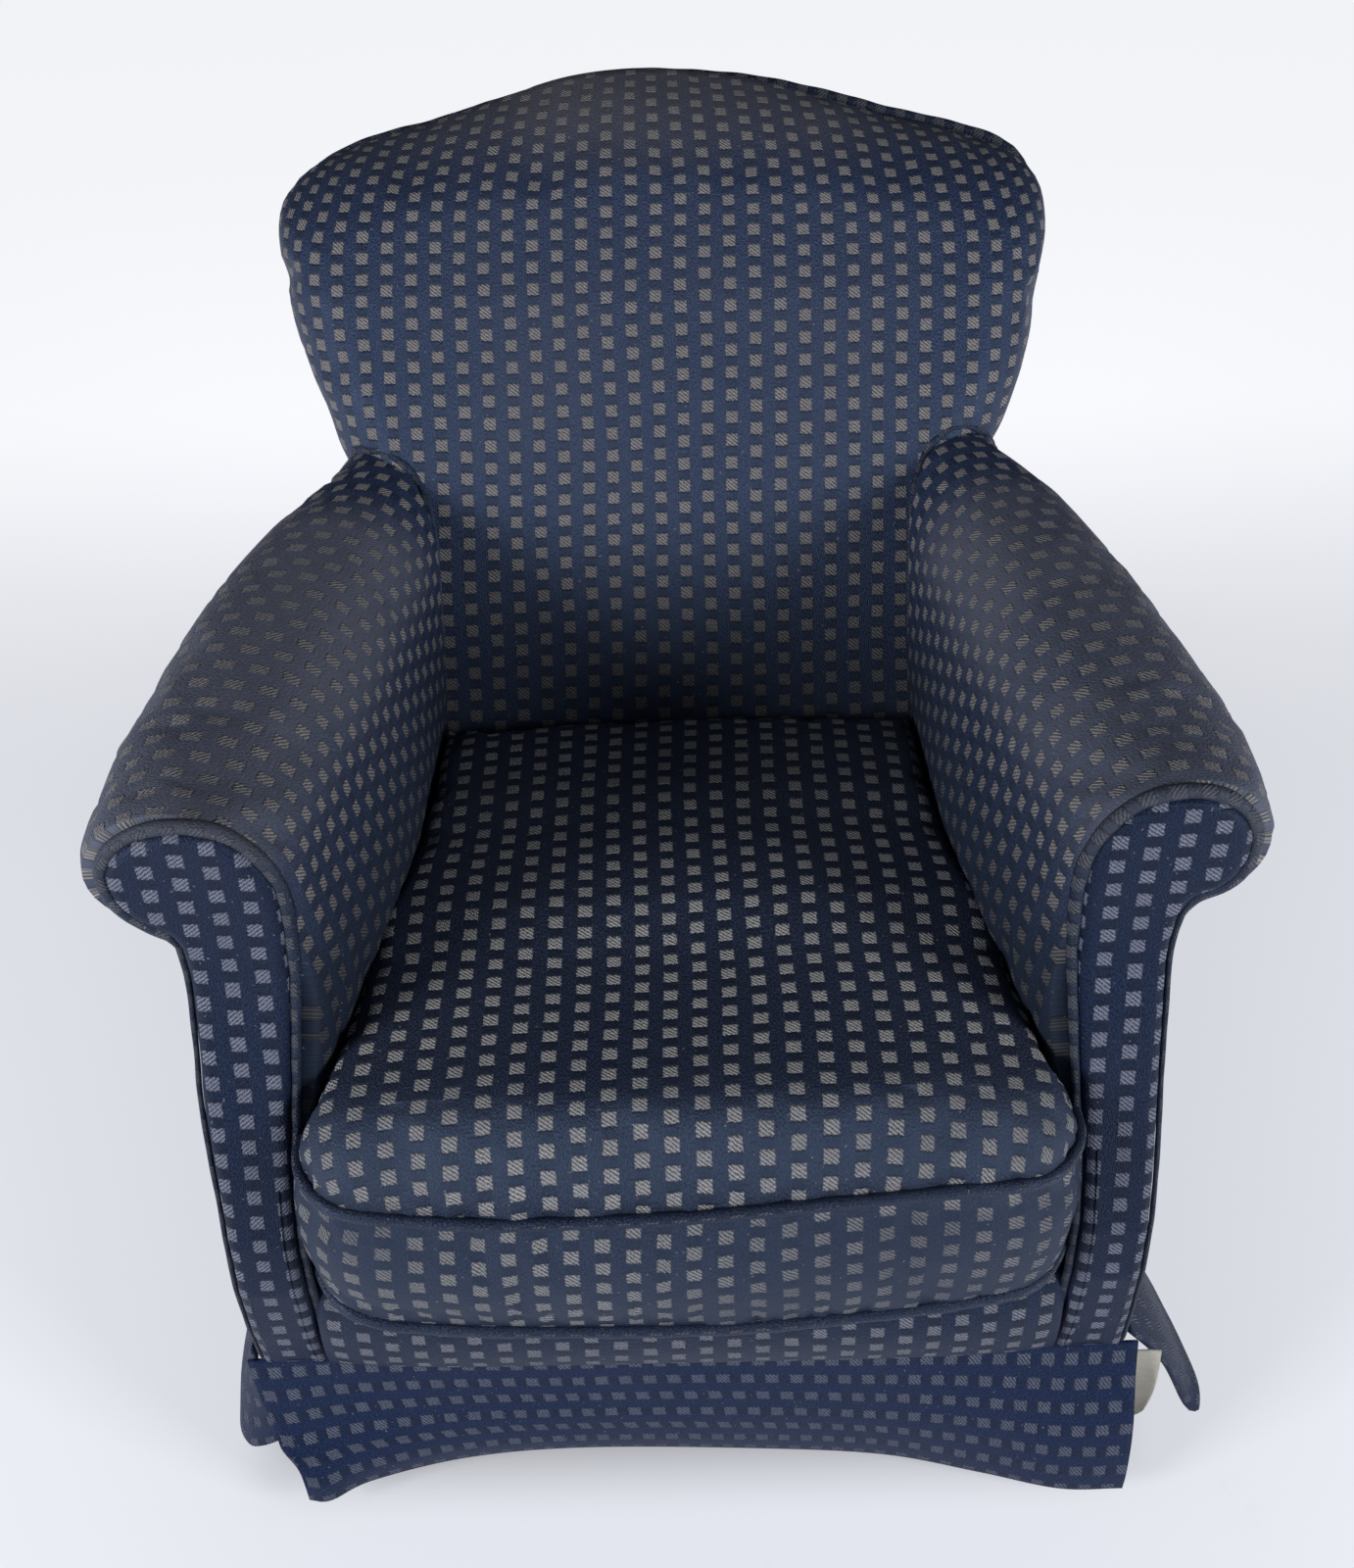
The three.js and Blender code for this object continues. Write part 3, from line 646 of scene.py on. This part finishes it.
arm_surface = {}
arm_begin = np.interp(section[:, 1], *FACING_FRONT.T) + 0.009
stations = np.linspace(0, 1, 92)[None] ** 1.15
for side, word in ((-1, "left"), (1, "right")):
    outer = arm_surface[side] = arm_grid(side, section, arm_begin, stations)
    inner = arm_grid(side, inner_section, arm_begin, stations)
    along = np.concatenate(
        [np.zeros((len(section), 1)),
         np.cumsum(np.linalg.norm(np.diff(outer, axis=1), axis=2), axis=1)], axis=1)
    laid = np.stack([along + arm_begin[:, None], section_run[:, None] + 0 * along], -1)
    ends = [
        (np.stack([outer[:, k], inner[:, k]], 1), np.stack([laid[:, k]] * 2, 1)) for k in (0, -1)
    ]
    lips = [
        (np.stack([outer[k], inner[k]], 1), np.stack([laid[k]] * 2, 1)) for k in (0, -1)
    ]
    arm = sew(f"arm_cover_{word}", (outer, laid), (inner, laid), *ends, *lips)
    arm_cloth = cover_cloth(
        f"arm_cloth_{word}", NAVY, GAP, SQUARE, drift=(0.004 * side, 0.003),
        wear_and_painted_light=[
            (0.75, (0.150, 0.158, 0.205), (-0.5, -0.36, 0.560), (0.5, 0.10, 0.9), 0.035),
            (0.25, (0.070, 0.076, 0.100), (-0.5, -0.36, 0.510), (0.5, 0.05, 0.9), 0.05),
        ],
        # painted shade low on the inside face of the arm, above the seat
        painted_shade_below=(0.82, 0.24, 0.37),
    )
    plump(
        arm, lambda p: (p[:, 1] < -0.285) | (p[:, 1] > 0.24) | (p[:, 2] < 0.32)
        | (np.abs(p[:, 0]) > 0.32) & (p[:, 2] < 0.56),
        1.5, 0.015, 0.004,
    )
    finish_piece(arm, arm_cloth, "woven_cover", f"arm_pad_{word}")


# ---- Piping ----
# Cord covered with strips of the same cloth, sewn between the cuts where they meet.
WELT_SIDES = 12


def welt(name, line, radius, closed=False):
    """A piping swept along the line, with its ends turned in."""
    line = np.column_stack([np.array(line, float), np.broadcast_to(radius, len(line))])
    count = int(length_along(line[:, :3])[-1] / 0.0045)
    path = spaced(line, count)
    path, radius = path[:, :3], path[:, 3]
    if closed:
        ahead = np.roll(path[:-1], -1, 0) - np.roll(path[:-1], 1, 0)
        ahead = np.vstack([ahead, ahead[:1]])
    else:
        ahead = np.gradient(path, axis=0)
    ahead /= np.linalg.norm(ahead, axis=1)[:, None]
    out = np.cross(ahead[0], (0.3, 0.2, 0.93))
    frames = []
    for direction in ahead:
        out = out - direction * (out @ direction)
        out /= np.linalg.norm(out)
        frames.append((out, np.cross(direction, out)))
    angles = np.linspace(0, 2 * pi, WELT_SIDES + 1)
    far = length_along(path)
    uneven = radius * (1 + 0.05 * np.sin(far * 170) + 0.04 * np.sin(far * 61 + 1))
    rings = np.stack([
        p + r * (np.cos(angles)[:, None] * a + np.sin(angles)[:, None] * b)
        for p, r, (a, b) in zip(path, uneven, frames)
    ])
    if closed:
        rings[-1] = rings[0]
    else:
        tips = [np.broadcast_to(tip, rings[:1].shape) for tip in (path[0], path[-1])]
        rings = np.concatenate([tips[0], rings, tips[1]])
        far = np.concatenate([far[:1], far, far[-1:]])
    laid = np.stack(np.broadcast_arrays(0.0048 * angles[None] + 0.016, far[:, None]), -1)
    return sew(name, (rings, laid))


piping_cloth = cover_cloth(
    "piping_cloth", (0.009, 0.014, 0.034), (0.006, 0.009, 0.022), (0.055, 0.057, 0.070),
    wear_and_painted_light=[(0.5, (0.075, 0.072, 0.078), (-0.5, -0.36, 0.560), (0.5, 0.1, 0.7), 0.03)],
)


SEAT_TOP = 0.40


def joint_line(surface):
    """Where the arm runs into the face of the back, from the seat up over the arm."""
    met = []
    for run in surface:
        over = np.clip(1 + (np.abs(run[:, 0]) - BACK_HALF) / BACK_TURN, 0, 1)
        reach = back_face(run[:, 0], run[:, 2]) + BACK_DROP * (1 - np.sqrt(1 - over**2))
        ahead = run[:, 1] - reach
        past = np.nonzero(ahead > 0)[0]
        if run[0, 2] <= SEAT_TOP or not len(past) or past[0] == 0:
            continue
        k = past[0]
        if np.abs(run[k, 0]) < BACK_HALF - 0.003:
            share = ahead[k - 1] / (ahead[k - 1] - ahead[k])
            met.append(run[k - 1] + (run[k] - run[k - 1]) * share)
    return np.array(met)


for side, word in ((-1, "left"), (1, "right")):
    met = joint_line(arm_surface[side])
    line = drawn(met[::3] + (-0.0015 * side, -0.002, 0.001), 80)
    piece = welt(f"arm_back_welt_{word}", line, 0.0040)
    finish_piece(piece, piping_cloth, "woven_cover", f"arm_back_piping_{word}")

proud = np.interp(back_edge[:, 0], [-0.1, 0.15], [-0.009, -0.004])[:, None]
rear_line = back_place(np.column_stack([back_edge + back_out * proud, rear_deep + 0.003]))
along_seat = len(back_sides[0]) - 1
piece = welt("back_welt", rear_line[along_seat + 8:-8], 0.005)
finish_piece(piece, piping_cloth, "woven_cover", "back_piping")


# ---- Outside back and outside arms ----
# Single sheets of the cover cloth drawn tight over the back and the sides of the frame.
def thin_sheet(piece, thickness):
    """Gives a single cut its thickness, with equal parts to each side."""
    wall = piece.modifiers.new("thickness", "SOLIDIFY")
    wall.thickness, wall.offset = thickness, 0
    bpy.context.view_layer.objects.active = piece
    bpy.ops.object.modifier_apply(modifier=wall.name)


OUTSIDE_LOW, OUTSIDE_TALL = 0.130, 0.384
plain_cover = cover_cloth("outside_cloth", (0.012, 0.018, 0.042), GAP, (0.14, 0.135, 0.145))
edge_rear = np.column_stack([back_edge - back_out * 0.006, rear_deep + 0.004])
corner = np.cumsum([0] + [len(s) - 1 for s in back_sides])
four = [edge_rear[a:b + 1] for a, b in zip(corner, corner[1:])]
plan = between(four[0], four[1], four[2][::-1], four[3][::-1])
rear_grid = back_place(plan)
rear_grid[..., 2] = np.maximum(rear_grid[..., 2], OUTSIDE_LOW)
crown = 0.005 * (1 - np.clip(np.abs(plan[..., 0]) / 0.27, 0, 1) ** 4)
rear_grid[..., 1] = np.interp(rear_grid[..., 2], *BACK_REAR.T) + 0.004 + crown
outside_back = sew("outside_back_cover", (rear_grid, plan[..., :2]))
thin_sheet(outside_back, 0.002)
finish_piece(outside_back, plain_cover, "woven_cover", "outside_back")

OUTSIDE_TUCK = {-1: (0.3130, 0.3165, 0.3185), 1: (0.3130, 0.3130, 0.3130)}
for side, word in ((-1, "left"), (1, "right")):
    u = np.linspace(0, 1, 70)[None]
    t = np.linspace(0, 1, 40)[:, None]
    z = OUTSIDE_LOW + t * OUTSIDE_TALL
    front = np.interp(z, *FACING_FRONT.T) + 0.010
    rear = np.interp(z, *BACK_REAR.T) + 0.004
    y = front + (rear - front) * u
    half = np.interp(y, [-0.4, 0.25, 0.33], [0.3215, 0.292, 0.288])
    half = half - 0.004 * np.sin(pi * u) * np.sin(pi * t) - 0.003 * t
    # the front edge is tucked behind the facing, the rear edge turned in behind the back
    behind_facing = np.interp(z, [0.293, 0.357, 0.450], OUTSIDE_TUCK[side])
    near_facing = np.exp(-(((y - front) / 0.05) ** 2))
    half = half + (behind_facing - half) * near_facing
    half = half - 0.012 * np.clip((u - 0.97) / 0.03, 0, 1) ** 2
    # the top edge is drawn in and up under the rising arm
    under_arm = along_arm(side, 0.330 + 0 * y, y, 0.520 + 0 * y)
    x = half + (side * under_arm[..., 0] - half) * t**5 * (1 - near_facing)
    z = z + (under_arm[..., 2] - (OUTSIDE_LOW + OUTSIDE_TALL)) * t**2
    grid = np.stack([side * x, y, z], -1)
    sheet = sew(f"outside_arm_cover_{word}", (grid, np.stack([side * y, z], -1)))
    thin_sheet(sheet, 0.002)
    finish_piece(sheet, plain_cover, "woven_cover", f"outside_arm_{word}")


# ---- Seat cushion ----
# A loose boxed cushion filled with feather: its crown has flattened, its front edge rolls over and
# the front seam dips to one side. The corners are rounded.
CUSHION_BACK, CUSHION_REAR_HALF, CUSHION_REACH = 0.054, 0.200, 0.03
REAR_TOP_SEAM, REAR_LOW_SEAM = 0.372, 0.262
TOP_PROFILE = np.array([
    (-405, 419), (-369, 419), (-327, 421), (-229, 429), (-181, 439), (-95, 439), (-57, 446),
    (0, 449), (55, 446),
]) / 1000
cushion_front = np.array([
    (-240, -384), (-224, -396), (-190, -402), (-100, -407), (0, -409), (100, -407), (190, -402),
    (224, -396), (240, -384),
]) / 1000
cushion_right = np.array([
    (240, -384), (252, -364), (255, -337), (249, -300), (236, -208), (222, -141), (208, -41),
    (200, 54),
]) / 1000
cushion_sides = (
    drawn(cushion_front, 81),
    drawn(cushion_right, 91),
    np.linspace((-CUSHION_REAR_HALF, CUSHION_BACK), (CUSHION_REAR_HALF, CUSHION_BACK), 81),
    drawn(cushion_right * (-1, 1), 91),
)
seam_edge, seam_out, _ = edge_loop(cushion_sides, CUSHION_REACH)
cushion_turn = np.interp(
    seam_edge[:, 1], [-0.40, -0.365, -0.32, -0.05, 0.035], [0.050, 0.032, 0.024, 0.020, 0.014]
)
seam_tilt = np.interp(
    seam_edge[:, 0], [-0.25, -0.2, -0.126, 0, 0.084, 0.18, 0.25],
    [0.363, 0.360, 0.357, 0.364, 0.372, 0.378, 0.376],
)
rear_share = np.clip((seam_edge[:, 1] + 0.40) / 0.3, 0, 1)
top_seam = seam_tilt * (1 - rear_share) + REAR_TOP_SEAM * rear_share
low_seam = np.interp(
    seam_edge[:, 0], [-0.25, -0.2, -0.136, 0.03, 0.129, 0.2, 0.25],
    [0.262, 0.252, 0.250, 0.252, 0.260, 0.268, 0.272],
) * (1 - rear_share) + REAR_LOW_SEAM * rear_share


def cushion_level(x, y):
    dip = 0.010 * np.exp(-(((x + 0.03) / 0.11) ** 2) - ((y + 0.22) / 0.09) ** 2)
    bow = 0.010 * (x / 0.2) ** 2
    return np.interp(y, *TOP_PROFILE.T) - dip - bow + 0.012 * x


def cushion_place(p):
    x, y, deep = p[..., 0], p[..., 1], p[..., 2]
    return np.stack([x, y, cushion_level(x, y) - deep], -1)


edge_level = cushion_level(*seam_edge.T)
drop = edge_level - top_seam
turn = turn_over(cushion_turn, drop)
tall = top_seam - low_seam
boxing = [(0.008 * sin(pi * f) ** 0.8, drop + tall * f) for f in np.linspace(0, 1, 12)]
under = [(-0.03 * f, drop + tall + 0.006 * f) for f in (0, 0.5, 1.0)]
cushion = pad(
    "seat_cushion_cover", cushion_sides, CUSHION_REACH, [turn, boxing, under], cushion_place,
    lambda p: p,
)
cushion_cloth = cover_cloth(
    "cushion_cloth", (0.017, 0.023, 0.047), (0.007, 0.010, 0.022), (0.270, 0.265, 0.270),
    wear_and_painted_light=[
        # a lighter blue along the top of the front roll: painted sheen, and fading from wear
        (0.45, (0.040, 0.058, 0.112), (-0.5, -0.5, 0.385), (0.5, -0.350, 0.424), 0.024),
        # painted shade over the front of the boxing
        (0.72, (0.006, 0.012, 0.032), (-0.5, -0.5, 0.200), (0.5, -0.34, 0.366), 0.010),
        # painted shade over the front roll
        (0.40, (0.010, 0.017, 0.036), (-0.5, -0.5, 0.360), (0.5, -0.335, 0.430), 0.032),
        # painted shade over the rear of the seat, under the back and between the arms
        (0.60, (0.004, 0.005, 0.010), (-0.5, -0.12, 0.200), (0.5, 0.5, 0.600), 0.10),
    ],
)


def on_seam(p):
    """True for points on the two seams and on the underside, which the filling can't move."""
    apart = np.linalg.norm(p[:, None, :2] - seam_edge[None, ::4], axis=2)
    nearest = 4 * apart.argmin(1)
    near_level = np.minimum(
        np.abs(p[:, 2] - top_seam[nearest]), np.abs(p[:, 2] - low_seam[nearest])
    )
    return (apart.min(1) < 0.006) & (near_level < 0.004) | (p[:, 2] < REAR_LOW_SEAM)


plump(cushion, on_seam, 2.0, 0.025, 0.006)
finish_piece(cushion, cushion_cloth, "woven_cover", "seat_cushion")
for word, level in (("top", top_seam), ("bottom", low_seam)):
    line = np.column_stack([seam_edge + seam_out * 0.002, level])
    piece = welt(f"cushion_welt_{word}", line, 0.0045, closed=True)
    finish_piece(piece, piping_cloth, "woven_cover", f"cushion_piping_{word}")


# ---- Arm facings ----
# The scroll-shaped front of each arm: a padded panel with piping round it. The right scroll stands
# about 12 mm higher than the left.
facing_outer = {
    -1: ([(312, 152), (312, 200), (312, 293), (316, 357), (318, 398), (317, 424), (317, 470),
          (319, 502)],
         [(319, 502), (325, 512), (336, 519), (346, 527), (353, 538), (356, 548)]),
    1: ([(314, 152), (312, 200), (311, 259), (312, 330), (311, 398), (311, 480), (314, 512)],
        [(314, 512), (322, 525), (337, 533), (346, 543), (350, 554)]),
}
facing_inner = {
    -1: ([(263, 152), (265, 178), (265, 240), (266, 295), (265, 345), (260, 405), (255, 465),
          (253, 500), (252, 530)],
         [(252, 530), (254, 547), (260, 562), (270, 576), (283, 586), (300, 590), (316, 590),
          (332, 586), (346, 577), (354, 566), (357, 556)]),
    1: ([(263, 152), (265, 178), (265, 240), (266, 295), (265, 345), (260, 405), (255, 465),
         (253, 500), (252, 530)],
        [(252, 530), (254, 552), (260, 570), (270, 585), (283, 596), (300, 601), (316, 601),
         (331, 596), (343, 586), (350, 573), (351, 562)]),
}
# a darker, bluer copy of the navy cover cloth with dimmer squares: painted shade on these front
# faces
facing_cloth = cover_cloth(
    "facing_cloth", (0.0035, 0.0085, 0.031), (0.002, 0.0045, 0.016), (0.118, 0.128, 0.178),
    sheen=0.28,
)
FACING_DEEP, FACING_REACH = 0.020, 0.006


def facing_place(p):
    x, z, deep = p[..., 0], p[..., 1], p[..., 2]
    return np.stack([x, np.interp(z, *FACING_FRONT.T) + deep, z], -1)


for side, word in ((-1, "left"), (1, "right")):
    edges = []
    for post, scroll in (facing_outer[side], facing_inner[side]):
        rise = drawn(np.array(post) / 1000, 91)
        curl = drawn(np.array(scroll) / 1000, 61)
        edges.append(np.vstack([rise, curl[1:]]))
    outside, inside = edges
    sides = (
        np.linspace(inside[0], outside[0], 25), outside,
        np.linspace(inside[-1], outside[-1], 25), inside,
    )
    bands = [
        [(-0.008 * (1 - sin(a)), 0.006 * (1 - cos(a)) - 0.004) for a in np.linspace(0, pi / 2, 7)]
        + [(0.0, FACING_DEEP / 2), (0.0, FACING_DEEP)]
    ]
    facing = pad(
        f"facing_pad_{word}", sides, FACING_REACH, bands,
        lambda p: facing_place(p) * (side, 1, 1), lambda p: p,
    )
    finish_piece(facing, facing_cloth, "woven_cover", f"arm_facing_{word}")
    edge_line, edge_away, _ = edge_loop(sides, FACING_REACH)
    deep = np.full(len(edge_line), 0.004)
    line = facing_place(np.column_stack([edge_line + edge_away * 0.003, deep]))
    line = (line * (side, 1, 1))[24:]
    fat = np.interp(
        np.arange(len(line)), [0, 80, 105, 235, 262, 326],
        [0.0018, 0.0020, 0.0050, 0.0052, 0.0034, 0.0030],
    )
    piece = welt(f"facing_welt_{word}", line, fat)
    finish_piece(piece, piping_cloth, "woven_cover", f"facing_piping_{word}")


# ---- Front border ----
# The stuffed lip of the seat below the cushion, between the two facings.
border_line = drawn(np.array([
    (-341, 150), (-356, 151), (-370, 158), (-379, 176), (-382, 200), (-379, 222), (-371, 238),
    (-358, 246), (-338, 247),
]) / 1000, 30)
border_run = length_along(border_line)
BORDER_HALF, BORDER_BACK = 0.262, -0.341
x = np.linspace(-BORDER_HALF, BORDER_HALF, 90)[:, None]
ease = 1 - (np.abs(x) / BORDER_HALF) ** 6 * 0.25
border_y = BORDER_BACK + (border_line[:, 0][None] - BORDER_BACK) * ease
border_grid = np.stack([x + 0 * border_y, border_y, border_line[:, 1][None] + 0 * border_y], -1)
border_laid = np.stack([x + 0 * border_y, border_run[None] + 0 * border_y], -1)
behind = border_grid.copy()
behind[..., 1] = np.maximum(behind[..., 1] + 0.03, BORDER_BACK)
border = sew(
    "front_border_cover", (border_grid, border_laid), (behind, border_laid),
    *[(np.stack([border_grid[k], behind[k]], 1), np.stack([border_laid[k]] * 2, 1))
      for k in (0, -1)],
    *[(np.stack([border_grid[:, k], behind[:, k]], 1), np.stack([border_laid[:, k]] * 2, 1))
      for k in (0, -1)],
)
# a darker, bluer copy of the navy cover cloth with dimmer squares: painted shade on this front face
border_cloth = cover_cloth(
    "border_cloth", (0.006, 0.012, 0.035), (0.003, 0.006, 0.018), (0.122, 0.128, 0.158),
    sheen=0.32,
)
finish_piece(border, border_cloth, "woven_cover", "front_border")


# ---- Skirt ----
# Four lined panels hung from the bottom edge, the cloth turned sideways. The front one has lifted
# into a shallow arch, its ends flare out, and the side panels kick out at their front corners.
# a darker, bluer copy of the navy cover cloth with dim squares: painted shade on the hanging skirt
skirt_cloth = cover_cloth(
    "skirt_cloth", (0.0035, 0.011, 0.045), (0.002, 0.007, 0.029), (0.064, 0.074, 0.112),
    turned=True, sheen=0.25,
)


def hung(name, top, hem, front_edge, rear_edge, across, down, bow, *replaced):
    """A skirt panel between its top seam, its hem and its two free ends."""
    top, hem = drawn(np.array(top) / 1000, across), drawn(np.array(hem) / 1000, across)
    ends = [drawn(np.array(end) / 1000, down) for end in (front_edge, rear_edge)]
    grid = between(hem, ends[1], top, ends[0])
    t = np.linspace(1, 0, down)[:, None]
    grid = grid + np.array(bow) * np.sin(pi * t)[..., None]
    laid = np.stack(np.broadcast_arrays(length_along(top)[None], -t * 0.132), -1)
    piece = sew(name, (grid, laid))
    thin_sheet(piece, 0.003)
    finish_piece(piece, skirt_cloth, "skirt_cloth", *replaced)
    return piece


skirt_front = hung(
    "skirt_front_panel",
    [(-327, -351, 146), (-261, -352, 147), (-130, -352, 145), (0, -352, 145), (160, -352, 145),
     (280, -351, 145), (330, -350, 145)],
    [(-293, -387, 24), (-278, -385, 19), (-247, -372, 24), (-174, -356, 27), (-83, -349, 26),
     (50, -349, 20), (149, -354, 16), (223, -370, 14), (280, -384, 13), (327, -388, 18)],
    [(-293, -387, 24), (-294, -384, 42), (-298, -378, 57), (-309, -370, 73), (-313, -362, 91),
     (-321, -356, 116), (-327, -351, 146)],
    [(327, -388, 18), (328, -384, 36), (329, -372, 78), (329, -358, 118), (330, -350, 145)],
    150, 34, (0, -0.006, 0), "skirt_front",
)

panel_top = [(326, -341, 144), (320, -200, 144), (310, 0, 144), (295, 262, 144)]
panel_rear = [(300, 262, 17), (297, 262, 80), (295, 262, 144)]
for side, word, hem, front_edge in (
    (-1, "left",
     [(292, -351, 64), (312, -353, 53), (332, -350, 38), (347, -341, 27), (359, -318, 24),
      (365, -260, 22), (360, -190, 20), (338, -60, 18), (318, 90, 17), (300, 262, 17)],
     [(292, -351, 64), (297, -350, 78), (306, -348, 98), (316, -345, 120), (326, -341, 144)]),
    (1, "right",
     [(389, -336, 38), (397, -334, 34), (402, -312, 36), (400, -277, 34), (396, -236, 29),
      (386, -180, 25), (350, -60, 20), (322, 90, 17), (300, 262, 17)],
     [(389, -336, 38), (375, -337, 52), (361, -338, 76), (349, -339, 102), (340, -340, 120),
      (326, -341, 144)]),
):
    turned_round = [[(side * x, y, z) for x, y, z in line]
                    for line in (panel_top, hem, front_edge, panel_rear)]
    panel = hung(f"skirt_panel_{word}", *turned_round, 130, 34, (side * 0.010, 0, 0),
                 f"skirt_{word}")

BACK_PANEL_HALF, BACK_PANEL_SEAM, BACK_PANEL_DROP = 0.297, 0.144, 0.127
x = np.linspace(-BACK_PANEL_HALF, BACK_PANEL_HALF, 110)[None]
t = np.linspace(0, 1, 30)[:, None]
wave = 0.004 + 0.008 * t + 0.004 * np.sin(x * 27) * t
grid = np.stack(
    np.broadcast_arrays(x, 0.248 + wave, BACK_PANEL_SEAM - BACK_PANEL_DROP * t), -1
)
skirt_back = sew("skirt_back_panel", (grid, np.stack(np.broadcast_arrays(-x, -t * 0.13), -1)))
thin_sheet(skirt_back, 0.003)
finish_piece(skirt_back, skirt_cloth, "skirt_cloth", "skirt_back")

# The skirt's cotton lining has come loose at the front right corner and hangs below its edge.
u = np.linspace(0, 1, 18)[None]
t = np.linspace(0, 1, 30)[:, None]
lining_grid = np.stack(np.broadcast_arrays(
    0.316 + 0.035 * u - 0.009 * u * t**3,
    -0.350 + 0.004 * np.sin(2.2 * u + 2 * t) - 0.006 * t,
    0.128 - (0.069 - 0.013 * u**3) * t,
), -1)
lining = sew("lining_tab", (lining_grid, np.stack(np.broadcast_arrays(u * 0.036, -t * 0.07), -1)))
thin_sheet(lining, 0.0016)
lining_cotton = plain_weave("lining_cotton", (0.90, 0.87, 0.78), (0.72, 0.69, 0.60), 0.0014)
finish_piece(lining, lining_cotton, "calico", "skirt_lining")
